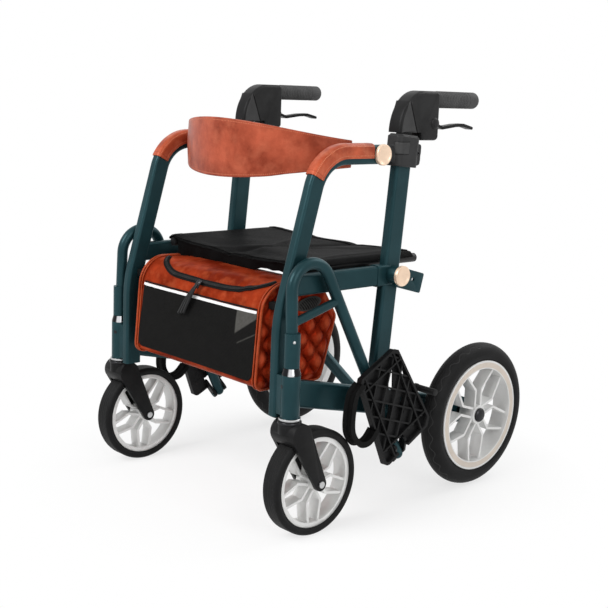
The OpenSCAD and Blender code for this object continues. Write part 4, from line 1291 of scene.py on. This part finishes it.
@dataclass
class ArmSleeve(Sided):
    """Leather sleeve over the bend of an armrest, open along its underside."""

    tube_x: float = 235.0
    foot: tuple[float, float] = (-309.0, 405.0)
    lean: float = 15.5
    arm_z: float = 698.0
    start_turn: float = 12.0
    end_y: float = -102.0
    bend_r: float = 78.0
    tube: tuple[float, float] = (36.0, 21.0)
    wall: float = 3.2
    corner: float = 0.3
    cover: float = 0.78
    ease: float = 0.4
    ripple: float = 0.35

    def path(self) -> list[tuple[Vector, Vector]]:
        """Points along the tube in the side view, each with the outward direction of the bend."""
        lean = math.radians(self.lean)
        corner_y = self.foot[0] + (self.arm_z - self.foot[1]) * math.tan(lean)
        turn = math.pi / 2 - lean
        back = self.bend_r * math.tan(turn / 2)
        up = Vector((math.sin(lean), math.cos(lean)))
        out = Vector((-math.cos(lean), math.sin(lean)))
        center = Vector((corner_y + back, self.arm_z - self.bend_r))
        first = math.radians(self.start_turn)
        points = []
        for i in range(17):
            a = first + (turn - first) * i / 16
            normal = Vector((out.x * math.cos(a) + up.x * math.sin(a),
                             out.y * math.cos(a) + up.y * math.sin(a)))
            points.append((center + normal * self.bend_r, normal))
        level = Vector((corner_y + back, self.arm_z))
        end = Vector((self.end_y, self.arm_z))
        points += [(level + (end - level) * (i / 10), Vector((0.0, 1.0))) for i in range(1, 11)]
        return points

    def build(self, dresser: Dresser) -> None:
        """Wraps the sleeve round the tube and finishes it."""
        points = self.path()
        depth, thick = (size + self.wall + self.ease for size in self.tube)
        r = self.corner * self.tube[1] + self.wall / 2
        face, arc = thick / 2 - r, math.pi * r / 2
        half = face + arc + (depth - 2 * r) * self.cover

        def section(t: float) -> tuple[float, float]:
            """Place round the tube: outward of the bend and across the chair."""
            length = (t - 0.5) * 2 * half
            sign, d = (1.0 if length >= 0 else -1.0), abs(length)
            if d < face:
                return depth / 2, sign * d
            if d < face + arc:
                a = (d - face) / r
                return depth / 2 - r + r * math.cos(a), sign * (face + r * math.sin(a))
            return depth / 2 - r - (d - face - arc), sign * thick / 2

        def shape(u: float, w: float) -> Vector:
            """Point of the sleeve's middle surface."""
            place, normal = points[round(w * (len(points) - 1))]
            out, across = section(u)
            out += self.ripple * noise.noise(Vector((u * 9.0, w * 14.0, 3.0 * self.side.value)))
            y, z = place + normal * out
            return self.side.flip(Vector((self.tube_x + across, y, z)) * MM)

        cells = (36, len(points) - 1)
        obj = Bench.sheet(self.node("arm_sleeve"), cells, shape, self.wall * MM, 0.8 * MM, 1)
        sewn = Leather(self.node("sleeve_sewn"), (0.55, 0.112, 0.050), (0.27, 0.040, 0.016),
                       (0.74, 0.25, 0.13), 0.32, 760.0, 0.0, 0.35, (0.075, 0.32, 0.68, 0.925), 46.0, False,
                       (0.045, 0.955))
        dresser.place(obj, self.node("frame"), "leather", sewn.build(), [self.node("arm_pad")])
        around = 2 * half * MM
        along = sum((b[0] - a[0]).length for a, b in zip(points, points[1:])) * MM
        self.node("front_tube")


@dataclass
class Backrest:
    """Leather band that bows forward between the armrests."""

    half: float = 220.0
    bow: float = 147.0
    end_y: float = -140.0
    top: float = 755.0
    low: float = 643.0
    top_drop: float = 32.0
    low_rise: float = 28.0
    room: float = 2.0
    room_from: float = 115.0
    room_over: float = 40.0
    wall: float = 7.0
    crown: float = 1.6
    ripple: float = 0.5

    def build(self, dresser: Dresser) -> None:
        """Lays the band on its arc and finishes it."""
        radius = (self.half ** 2 + self.bow ** 2) / (2 * self.bow)
        mid = radius - self.wall / 2
        center = self.end_y - self.bow + radius
        span = math.asin(clamp((self.half - 1.5) / mid, -1.0, 1.0))
        if self.bow > radius:
            span = math.pi - span

        def edge(x: float, drop: float) -> float:
            """Drop of an edge away from the band's middle."""
            r = (self.half ** 2 + drop ** 2) / (2 * drop)
            return r - math.sqrt(max(r * r - x * x, 0.0))

        def shape(u: float, w: float) -> Vector:
            """Point of the band's middle surface."""
            a = (u * 2 - 1) * span
            x, y = mid * math.sin(a), center - mid * math.cos(a)
            upper = self.top - edge(x, self.top_drop)
            lower = self.low + edge(x, self.low_rise)
            lower += self.room * smoothstep((abs(x) - self.room_from) / self.room_over)
            crown = self.crown * math.sin(math.pi * w)
            ripple = self.ripple * noise.noise(Vector((u * 7.0, w * 3.0, 1.0)))
            grow = (mid + crown + ripple) / mid
            return Vector((x * grow, center + (y - center) * grow, lower + (upper - lower) * w)) * MM

        obj = Bench.sheet("backrest_band", (96, 14), shape, self.wall * MM, 1.6 * MM, 1)
        sewn = Leather("band_leather", (0.41, 0.084, 0.042), (0.20, 0.031, 0.014), (0.54, 0.15, 0.080),
                       0.34, 620.0, 0.0, 0.3, (0.045, 0.955), 150.0)
        dresser.place(obj, "right_frame", "leather", sewn.build(), ["backrest"])
        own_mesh(obj)


@dataclass
class SeatCloth:
    """Padded cloth seat hung over the two seat tubes."""

    tube_x: float = 204.0
    tube_z: float = 486.0
    hem_r: float = 13.0
    sag: float = 8.0
    droop: float = 8.5
    droop_over: float = 90.0
    front: float = -231.0
    rear: float = 60.0
    wall: float = 5.6
    skirt_drop: float = 17.0
    hem_width: tuple[float, float] = (24.0, 20.0)
    hem_wall: float = 1.6
    hem_lift: float = 0.7
    creases: tuple[tuple[float, float, float, float, float], ...] = (
        (2.6, -0.4, 90.0, -20.0, 10.0), (-3.2, 0.3, 60.0, 30.0, 12.0), (2.2, 0.9, 60.0, 70.0, 16.0))

    def crease(self, x: float, y: float) -> float:
        """Height of the long creases: each has a height, a slant, two places and a width."""
        return sum(high * math.exp(-((x - slant * (y + fore) - across) / wide) ** 2)
                   for high, slant, fore, across, wide in self.creases)

    def build(self, dresser: Dresser) -> None:
        """Makes the hem, the sag and the creases, and fills the cloth a little."""
        arc = self.hem_r * math.pi / 2 * 0.92
        span = 2 * (self.tube_x + arc)
        top = self.tube_z + self.hem_r

        def shape(u: float, w: float) -> Vector:
            """Point of the cloth's middle surface."""
            s = (u - 0.5) * span
            y = self.front + (self.rear - self.front) * w
            if abs(s) > self.tube_x:
                a = (abs(s) - self.tube_x) / self.hem_r
                x = math.copysign(self.tube_x + self.hem_r * math.sin(a), s)
                return Vector((x, y, self.tube_z + self.hem_r * math.cos(a))) * MM
            dip = self.sag * (1.0 - (s / self.tube_x) ** 2)
            slack = 1.6 * noise.noise(Vector((s * 0.012 + y * 0.004, y * 0.018 - s * 0.003, 4.0)))
            share = 1.0 - (s / self.tube_x) ** 4
            near_front = smoothstep((self.front + self.droop_over - y) / self.droop_over)
            dip += self.droop * near_front * (1.0 - (s / self.tube_x) ** 8)
            return Vector((s, y, top - dip + (slack + self.crease(s, y)) * share)) * MM

        obj = Bench.sheet("seat_cloth", (90, 56), shape, self.wall * MM, 1.2 * MM)
        limit = (self.tube_x - 6.0) * MM
        puff(obj, 4.2 * MM, 3.0, 2.2 * MM, lambda co: 1.0 if abs(co.x) > limit else 0.0, 12)
        dresser.place(obj, "seat_cloth", "seat_cloth", "seat", ["seat"])
        extras = self.hems(obj) + [self.skirt()]
        for piece in extras:
            dresser.place(piece, "seat_cloth", "seat_cloth", "seat")
        for piece in [obj] + extras:
            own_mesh(piece)

    def hems(self, cloth: Piece) -> list[Piece]:
        """Folded hems sewn along the front and rear edges."""
        made = []
        wide, narrow = self.hem_width
        for name, start, width in (("front", self.front + 0.5, wide),
                                   ("rear", self.rear - narrow - 0.5, narrow)):
            def shape(u: float, w: float, start: float = start, width: float = width) -> Vector:
                """Point above the cloth near its edge."""
                return Vector(((u * 2 - 1) * (self.tube_x - 2.0), start + width * w, self.tube_z + 22.0)) * MM

            obj = Bench.loft(f"seat_{name}_hem", (90, 4), shape)
            Bench.wrap(obj, cloth, self.hem_lift * MM)
            Bench.tidy(obj)
            Bench.thicken(obj, self.hem_wall * MM, 0.0, 0.4 * MM, even=False)
            made.append(obj)
        return made

    def skirt(self) -> Piece:
        """Loose strip of cloth that hangs under the front edge."""

        def shape(u: float, w: float) -> Vector:
            """Point of the strip, from the edge down."""
            x = (u * 2 - 1) * (self.tube_x - 14.0)
            wave = 2.4 * w * math.sin(x * 0.11) + 1.5 * w * noise.noise(Vector((x * 0.03, w, 2.0)))
            drop = self.skirt_drop + 2.0 * math.sin(x * 0.05)
            drop += self.skirt_drop * smoothstep((70.0 - x) / 60.0)
            drop += 3.0 * noise.noise(Vector((x * 0.06, 0.0, 7.0)))
            share = x / self.tube_x
            dip = self.sag * (1.0 - share ** 2) + self.droop * (1.0 - share ** 8)
            top = self.tube_z + self.hem_r - dip + 1.0
            return Vector((x, self.front + 5.0 + wave + 6.0 * w, top - drop * w)) * MM

        return Bench.sheet("seat_front_skirt", (90, 6), shape, 1.8 * MM, even=False)


@dataclass
class HeelStrap(Sided):
    """Loop of webbing at the front edge of a footplate."""

    pivot: Point = (282.08, -30.0, 111.28)
    lean: float = 27.5
    tilt: float = 2.9
    middle: float = 19.5
    width: float = 23.0
    wall: float = 2.4
    points: Profile = ((-38.0, 203.5), (-62.0, 197.0), (-84.0, 173.0), (-100.0, 147.0), (-103.5, 128.0),
                       (-98.0, 108.0), (-84.0, 97.0), (-68.0, 95.0), (-47.0, 102.0))

    def place(self, v: float, u: float, out: float) -> Point:
        """Point of the footplate's own frame, brought to the chair's frame, in millimetres."""
        lean, tilt = math.radians(self.lean), math.radians(self.tilt)
        y = v * math.cos(lean) - u * math.sin(lean)
        z = v * math.sin(lean) + u * math.cos(lean)
        x = out * math.cos(tilt) - z * math.sin(tilt)
        rise = out * math.sin(tilt) + z * math.cos(tilt)
        return (self.side.value * (self.pivot[0] + x), self.pivot[1] + y, self.pivot[2] + rise)

    def build(self, dresser: Dresser) -> None:
        """Draws the webbing along its loop."""
        path = spline([self.place(v, u, self.middle) for v, u in self.points], 48)
        a, b = Vector(self.place(0, 0, 0)), Vector(self.place(0, 0, 1))
        section = slab(self.wall * MM, self.width * MM)
        obj = Bench.sweep(self.node("strap_loop"), path, section, (b - a).normalized())
        dresser.place(obj, self.node("plate"), "webbing", "webbing", [self.node("heel_strap")])


@dataclass
class Bag:
    """Leather storage bag: quilted sides, a net pocket with a pale strip, piped edges and a curved zip."""

    half: float = 192.0
    top: float = 462.0
    low: float = 264.0
    front: float = -330.0
    rake: float = 9.0
    back: float = -130.0
    nose: float = 58.0
    strip_z: float = 412.0
    strip_ends: tuple[float, float] = (-175.0, 182.0)
    ahead: float = 6.0
    pocket_low: float = 13.0
    pocket_corner: float = 14.0
    pocket_flare: float = 10.0
    held_from: float = 26.0
    held_over: float = 20.0
    diamond: tuple[float, float] = (40.0, 50.0)
    diamond_rise: float = 8.0
    window_at: tuple[float, float] = (-205.0, 417.0)
    window_size: tuple[float, float] = (32.0, 13.0)
    window_border: float = 6.0
    window_lean: float = 0.1
    tab_at: Point = (206.0, -296.0, 424.0)
    tab_size: Point = (36.0, 18.0, 14.0)
    lid_low: float = 410.0
    lid_over: float = 24.0
    zip_line: tuple[Point, ...] = (
        (-164.0, -265.8, 462.0), (-149.0, -284.0, 458.0), (-130.0, -296.0, 451.5), (-96.0, -306.5, 442.0),
        (-50.0, -308.5, 440.0), (0.0, -309.0, 439.5), (50.0, -309.0, 439.0), (90.0, -308.0, 440.5),
        (120.0, -304.5, 444.5), (148.0, -296.4, 451.4), (167.0, -285.4, 457.5), (177.0, -272.0, 461.3))
    zip_steps: int = 70
    zip_out: Point = (0.0, -0.75, 0.66)
    pull_line: tuple[Point, ...] = (
        (2.0, -320.0, 434.0), (-2.0, -327.0, 422.0), (-11.0, -332.0, 404.0), (-30.0, -334.0, 372.0))
    slider_line: tuple[Point, ...] = ((4.0, -314.0, 442.0), (3.0, -319.0, 437.0), (1.0, -324.0, 428.0))

    def corners(self, inset: float) -> list[Point]:
        """Circles round which the side panel's outline runs: fore and aft, height and radius."""
        return [(self.front + 18, self.low + 18, 18 - inset),
                (self.front + self.rake + self.nose, self.top - self.nose, self.nose - inset),
                (self.back - 61, self.top - 27, 25 - inset), (self.back - 14, self.top - 78, 14 - inset),
                (self.back - 45, self.low + 14, 14 - inset)]

    def outline(self, count: int, inset: float = 0.0) -> list[Vector]:
        """Outline of a side panel.

        Args:
            count: number of points.
            inset: how far the outline is drawn in.

        Returns:
            Evenly spaced points, fore and aft and height, from the bottom's middle round the front.
        """
        circles = self.corners(inset)
        dense: list[Vector] = []
        for i, (y, z, r) in enumerate(circles):
            start = self._tangent(circles[i - 1], circles[i])
            stop = self._tangent(circles[i], circles[(i + 1) % len(circles)])
            while stop > start:
                stop -= math.tau
            for k in range(13):
                a = start + (stop - start) * k / 12
                dense.append(Vector((y + r * math.cos(a), z + r * math.sin(a))))
        return self._even(dense, count)

    @staticmethod
    def _tangent(first: Point, second: Point) -> float:
        """Direction of the outward normal of the line that touches two circles, going clockwise."""
        (y0, z0, r0), (y1, z1, r1) = first, second
        d = math.hypot(y1 - y0, z1 - z0)
        heading = math.atan2(z1 - z0, y1 - y0)
        return heading + math.acos(clamp((r0 - r1) / d, -1.0, 1.0))

    @staticmethod
    def _even(points: list[Vector], count: int) -> list[Vector]:
        """Points shared evenly along a closed line."""
        loop = points + [points[0]]
        lengths = [0.0]
        for a, b in zip(loop, loop[1:]):
            lengths.append(lengths[-1] + (b - a).length)
        result, k = [], 0
        for i in range(count):
            want = lengths[-1] * i / count
            while lengths[k + 1] < want:
                k += 1
            step = lengths[k + 1] - lengths[k]
            f = (want - lengths[k]) / step if step else 0.0
            result.append(loop[k].lerp(loop[k + 1], f))
        return result

    def front_y(self, z: float) -> float:
        """Front face of the bag at a height below the rounded top edge."""
        share = clamp((z - self.low) / (self.top - self.low), 0.0, 1.0)
        return self.front + self.rake * share

    def body(self) -> Piece:
        """The filled leather body, with its sides held flat."""
        count = 72
        half = [(self.half * share, self.outline(count, inset)) for share, inset in (
            (1.0, 7.0), (0.985, 2.0), (0.9, 1.5), (0.7, 1.5), (0.45, 1.5), (0.2, 1.5))]
        loops = half + [(0.0, self.outline(count, 1.5))] + [(-x, loop) for x, loop in reversed(half)]

        def shape(u: float, w: float) -> Vector:
            """Point of the body's shell."""
            x, loop = loops[round(w * (len(loops) - 1))]
            p = loop[round(u * count) % count]
            return Vector((x, p.x, p.y)) * MM

        obj = Bench.loft("bag_body", (count, len(loops) - 1), shape, True, True)
        held = self.half - self.held_from
        puff(obj, 5.0 * MM, 4.0, 4.0 * MM, lambda co: smoothstep((abs(co.x) / MM - held) / self.held_over))
        outward = Vector((0.0, -0.5, 0.7)).normalized()
        for vertex in obj.data.vertices:
            vertex.co += outward * (self.wrinkle(vertex.co) * MM)
        return obj

    def wrinkle(self, co: Vector) -> float:
        """Height of the leather's wrinkles at a point: faint on the body, long folds and puckers on the lid."""
        soft = 0.6 * noise.noise(co * 30.0) + 0.3 * noise.noise(co * 70.0)
        lid = smoothstep((co.z / MM - self.lid_low) / self.lid_over)
        long = noise.noise(Vector((co.x * 7.0 - co.y * 6.0, co.y * 24.0, co.z * 24.0)))
        ripple = math.sin(co.x * 130.0 + 5.0 * noise.noise(co * 11.0))
        pucker = ripple * noise.noise(co * 19.0 + Vector((3.0, 0.0, 0.0)))
        return soft * (0.4 + 1.2 * lid) + (3.4 * long + 1.2 * pucker) * lid

    def patch(self, name: str, body: Piece, cells: tuple[int, int], shape: Shape, lift: float,
              depth: float) -> Piece:
        """Sheet that lies on the body.

        Args:
            name: name of the piece.
            body: the filled body.
            cells: cells of the sheet.
            shape: its rough place, in metres.
            lift: distance from the body.
            depth: thickness.

        Returns:
            The new piece.
        """
        obj = Bench.loft(name, cells, shape)
        Bench.wrap(obj, body, lift)
        Bench.tidy(obj)
        Bench.even(obj, 3)
        Bench.thicken(obj, depth, even=False)
        return obj

    def build(self, dresser: Dresser) -> None:
        """Makes the body and everything sewn to it."""
        body = self.body()
        pocket = self.pocket(body)
        pieces = [(body, "bag"), (pocket, "net")] + self.strips(body)
        for side in Side:
            pieces += [(self.quilt(side), "quilt"), (self.window(side), "mesh")]
            pieces += [(welt, "welt") for welt in self.welts(side)]
            pieces.append((self.tab(side), "webbing"))
        pieces += self.zip(body)
        for piece, finish in pieces:
            dresser.place(piece, "right_frame", "bag_leather", finish, ["bag"] if piece is body else [])
            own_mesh(piece)

    def pocket(self, body: Piece) -> Piece:
        """Net pocket over the lower front."""
        start, stop = self.strip_ends
        bottom = self.low + self.pocket_low

        def shape(u: float, w: float) -> Vector:
            """Point in front of the bag's face."""
            z = bottom + (self.strip_z - bottom) * w
            corner = self.pocket_corner * max(0.0, 1.0 - w * 8.0) ** 2
            left = start - self.pocket_flare * (1.0 - w) + corner
            return Vector((left + (stop - corner - left) * u, self.front_y(z) - self.ahead, z)) * MM

        return self.patch("bag_net", body, (60, 24), shape, 1.4 * MM, 1.2 * MM)

    def strips(self, body: Piece) -> list[tuple[Piece, str]]:
        """Pale strip at the pocket's top, with a dark edge above it."""
        start, stop = self.strip_ends
        made = []
        for name, low, high, lift, finish in (("bag_strip", -5.0, 2.5, 2.4, "strip"),
                                              ("bag_strip_edge", 2.5, 6.5, 2.2, "webbing")):
            def shape(u: float, w: float, low: float = low, high: float = high) -> Vector:
                """Point in front of the bag's face."""
                z = self.strip_z + low + (high - low) * w
                return Vector((start + (stop - start) * u, self.front_y(z) - self.ahead, z)) * MM

            made.append((self.patch(name, body, (60, 2), shape, lift * MM, 1.0 * MM), finish))
        return made

    def welts(self, side: Side) -> list[Piece]:
        """Two piped seams round a side panel."""
        made = []
        for name, x, inset, radius in (("outer", self.half - 1.0, 1.2, 2.7),
                                       ("inner", self.half - 9.0, 0.4, 1.5)):
            path = [side.flip(Vector((x, p.x, p.y)) * MM) for p in self.outline(120, inset)]
            section = ring(radius * MM, 8)
            made.append(Bench.sweep(f"bag_{side.word}_{name}_welt", path, section, Vector(OUT), True))
        return made

    def quilt(self, side: Side) -> Piece:
        """Side panel with sewn diamonds, flat at its edge and round the window."""
        around = 180
        outer = self.outline(around, 3.0)
        middle = Vector(((self.front + self.back) / 2 - 6.0, (self.low + self.top) / 2))
        wide, high = (size + self.window_border for size in self.window_size)

        def shape(u: float, w: float) -> Vector:
            """Point of the panel, from its middle out to its edge."""
            p = middle.lerp(outer[round(u * around) % around], 0.02 + 0.98 * w)
            across, up = p.x / self.diamond[0], p.y / self.diamond[1]
            rows = (abs(math.sin(math.pi * turn)) ** 0.55 for turn in (across + up, across - up))
            fore = p.x - self.window_at[0]
            near = math.hypot(fore / wide, (p.y - self.window_at[1] - self.window_lean * fore) / high)
            fade = smoothstep((1.0 - w) * 6.0) * smoothstep((near - 0.8) / 0.4)
            rise = 0.8 + (0.4 + self.diamond_rise * math.prod(rows)) * fade
            return side.flip(Vector((self.half + rise, p.x, p.y)) * MM)

        obj = Bench.loft(f"bag_{side.word}_quilt", (around, 76), shape, True, True)
        Bench.thicken(obj, 1.2 * MM, -1.0, even=False)
        return obj

    def window(self, side: Side) -> Piece:
        """Oval net window near the top of a side panel."""

        def shape(u: float, w: float) -> Vector:
            """Point of the oval, from its middle out."""
            a = math.tau * u
            y, z = self.window_size[0] * w * math.cos(a), self.window_size[1] * w * math.sin(a)
            bow = 4.0 * (1.0 - w * w)
            place = (self.half + 2.2 + bow, self.window_at[0] + y, self.window_at[1] + z + self.window_lean * y)
            return side.flip(Vector(place) * MM)

        return Bench.sheet(f"bag_{side.word}_window", (40, 8), shape, 1.6 * MM, even=False)

    def tab(self, side: Side) -> Piece:
        """Loop that ties the bag to the front tube."""
        Bench.clear()
        bpy.ops.mesh.primitive_cube_add(size=1.0)
        obj = Bench.name(f"bag_{side.word}_tab")
        for vertex in obj.data.vertices:
            place = [at + c * size for at, c, size in zip(self.tab_at, vertex.co, self.tab_size)]
            vertex.co = side.flip(Vector(place) * MM)
        Bench.tidy(obj)
        Bench.bevel(obj, 2.5 * MM, 3)
        Bench.apply_all(obj)
        Bench.smooth(obj, 40.0)
        return obj

    def zip(self, body: Piece) -> list[tuple[Piece, str]]:
        """Curved zip with its tape, teeth, slider and a pull of three flat tongues."""
        last = self.zip_steps
        line = spline(self.zip_line, last)
        made = []
        for name, width, lift, finish in (("bag_zip_tape", 15.0, 1.4, "webbing"),
                                          ("bag_zip_teeth", 5.6, 3.0, "teeth")):
            def shape(u: float, w: float, width: float = width) -> Vector:
                """Point of the tape beside the zip's line."""
                i = round(u * last)
                tangent = (line[min(i + 1, last)] - line[max(i - 1, 0)]).normalized()
                across = tangent.cross(Vector(self.zip_out)).normalized()
                return line[i] + across * ((w - 0.5) * width * MM)

            made.append((self.patch(name, body, (last, 4), shape, lift * MM, 1.4 * MM), finish))
        ahead, tongue = Vector((0.0, -1.0, 0.0)), slab(6.5 * MM, 3.0 * MM)
        for k, shift in enumerate((-8.5, 0.0, 8.5)):
            path = spline([(x + shift * (0.25 + 0.3 * i), y - 0.9 * k, z + 2.0 * k)
                           for i, (x, y, z) in enumerate(self.pull_line)], 24)
            made.append((Bench.sweep(f"bag_pull_{k}", path, tongue, ahead), "coat"))
        slider = Bench.sweep("bag_zip_slider", spline(self.slider_line, 8), slab(12.0 * MM, 5.0 * MM), ahead)
        return made + [(slider, "dark")]


@dataclass
class Brace:
    """Folding cross brace under the seat."""

    tube_low: float = 472.0

    def build(self, dresser: Dresser) -> None:
        """Dresses the bars, the black seat tubes on them, and their pivot."""
        for bar in ("brace_a", "brace_b"):
            piece = dresser.soften(bar, "frame", 0.8 * MM)
            dresser.accent(piece, "coat", lambda c: c.z > self.tube_low * MM)
        dresser.soften("brace_pivot", "steel", 0.6 * MM)


@dataclass
class Studio:
    """Camera at the photograph's place, pale floor and soft light."""

    azimuth: float = 46.5
    elevation: float = 11.0
    roll: float = 2.32
    distance: float = 2350.40
    lens: float = 65.84
    target: Point = (7.64, -36.84, 369.66)
    shift: tuple[float, float] = (-0.0020, -0.0020)
    ambient: float = 0.42
    floor_near: float = 0.35
    floor_rise: float = 1.1
    floor_low: float = 0.70
    floor_color: Color = (0.92, 0.92, 0.92)
    seen_by: tuple[str, str, str] = ("Is Camera Ray", "Is Glossy Ray", "Is Transmission Ray")
    lamps: tuple[tuple[str, Point, float, float], ...] = (
        ("key", (-0.3, -2.8, 2.6), 1.6, 84.0), ("fill", (3.0, -0.8, 2.0), 1.8, 36.0),
        ("rim", (0.6, 2.6, 2.6), 1.8, 36.0))

    def build(self) -> None:
        """Makes the camera, the floor, the lamps and the world."""
        scene = bpy.context.scene
        scene.view_settings.view_transform = "Standard"
        self.camera(scene)
        self.floor()
        for lamp in self.lamps:
            self.lamp(*lamp)
        self.world(scene)

    def camera(self, scene: bpy.types.Scene) -> None:
        """Camera from its angles and distance."""
        az, el, roll = (math.radians(a) for a in (self.azimuth, self.elevation, self.roll))
        back = Vector((math.sin(az) * math.cos(el), -math.cos(az) * math.cos(el), math.sin(el)))
        right = Vector((math.cos(az), math.sin(az), 0.0))
        up = back.cross(right)
        right2 = right * math.cos(roll) + up * math.sin(roll)
        up2 = up * math.cos(roll) - right * math.sin(roll)
        place = (Vector(self.target) + back * self.distance) * MM
        data = bpy.data.cameras.new("view")
        data.lens = self.lens
        data.sensor_width = 36.0
        data.shift_x, data.shift_y = self.shift
        data.clip_end = 50.0
        obj = bpy.data.objects.new("view", data)
        obj.matrix_world = Matrix((right2, up2, back)).transposed().to_4x4()
        obj.location = place
        scene.collection.objects.link(obj)
        scene.camera = obj

    def floor(self) -> None:
        """Large pale floor, white to the camera where nothing shades it."""
        Bench.clear()
        bpy.ops.mesh.primitive_plane_add(size=40.0)
        obj = Bench.name("studio_floor")
        g = Graph("studio_floor")
        x, y, _ = g.xyz()
        away = (x * x + y * y).call("SQRT")
        fade = ((away - self.floor_near) * self.floor_rise).held(1.0 - self.floor_low) + self.floor_low
        rays = [g.node("ShaderNodeLightPath", out=name) for name in self.seen_by]
        seen = rays[0].call("MAXIMUM", rays[1]).call("MAXIMUM", rays[2]) * fade
        diffuse = g.node("ShaderNodeBsdfDiffuse", {}, {"Color": tint(self.floor_color)})
        white = g.node("ShaderNodeEmission", {}, {"Color": (1.0, 1.0, 1.0, 1.0), "Strength": 1.0})
        g.node_output(g.node("ShaderNodeMixShader", {}, {0: seen, 1: diffuse, 2: white}))
        obj.data.materials.append(g.material)

    @staticmethod
    def lamp(name: str, place: Point, size: float, power: float) -> None:
        """Square soft lamp that looks at the chair."""
        data = bpy.data.lights.new(name, "AREA")
        data.size = size
        data.energy = power
        obj = bpy.data.objects.new(name, data)
        obj.location = place
        obj.rotation_euler = (Vector((0.0, 0.0, 0.4)) - Vector(place)).to_track_quat("-Z", "Y").to_euler()
        bpy.context.scene.collection.objects.link(obj)

    def world(self, scene: bpy.types.Scene) -> None:
        """White surroundings, at strength 1 where they are seen and softer as light."""
        world = bpy.data.worlds.new("studio")
        world.use_nodes = True
        scene.world = world
        tree = world.node_tree
        tree.nodes.clear()
        path = tree.nodes.new("ShaderNodeLightPath")
        seen = path.outputs[self.seen_by[0]]
        for name in self.seen_by[1:]:
            either = tree.nodes.new("ShaderNodeMath")
            either.operation = "MAXIMUM"
            tree.links.new(seen, either.inputs[0])
            tree.links.new(path.outputs[name], either.inputs[1])
            seen = either.outputs[0]
        mix = tree.nodes.new("ShaderNodeMixShader")
        out = tree.nodes.new("ShaderNodeOutputWorld")
        tree.links.new(seen, mix.inputs["Fac"])
        for socket, strength in ((1, self.ambient), (2, 1.0)):
            shade = tree.nodes.new("ShaderNodeBackground")
            shade.inputs["Color"].default_value = (1.0, 1.0, 1.0, 1.0)
            shade.inputs["Strength"].default_value = strength
            tree.links.new(shade.outputs[0], mix.inputs[socket])
        tree.links.new(mix.outputs[0], out.inputs["Surface"])


def main() -> None:
    """Builds the chair's pieces in order."""
    logging.basicConfig(level=logging.INFO, format="%(message)s")
    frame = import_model()
    Studio().build()
    dresser = Dresser(frame)
    for side in Side:
        SideFrame(side).build(dresser)
        Pod(side).build(dresser)
        ArmSleeve(side).build(dresser)
        HeelStrap(side).build(dresser)
    Brace().build(dresser)
    Backrest().build(dresser)
    SeatCloth().build(dresser)
    Bag().build(dresser)


if __name__ == "__main__":
    main()
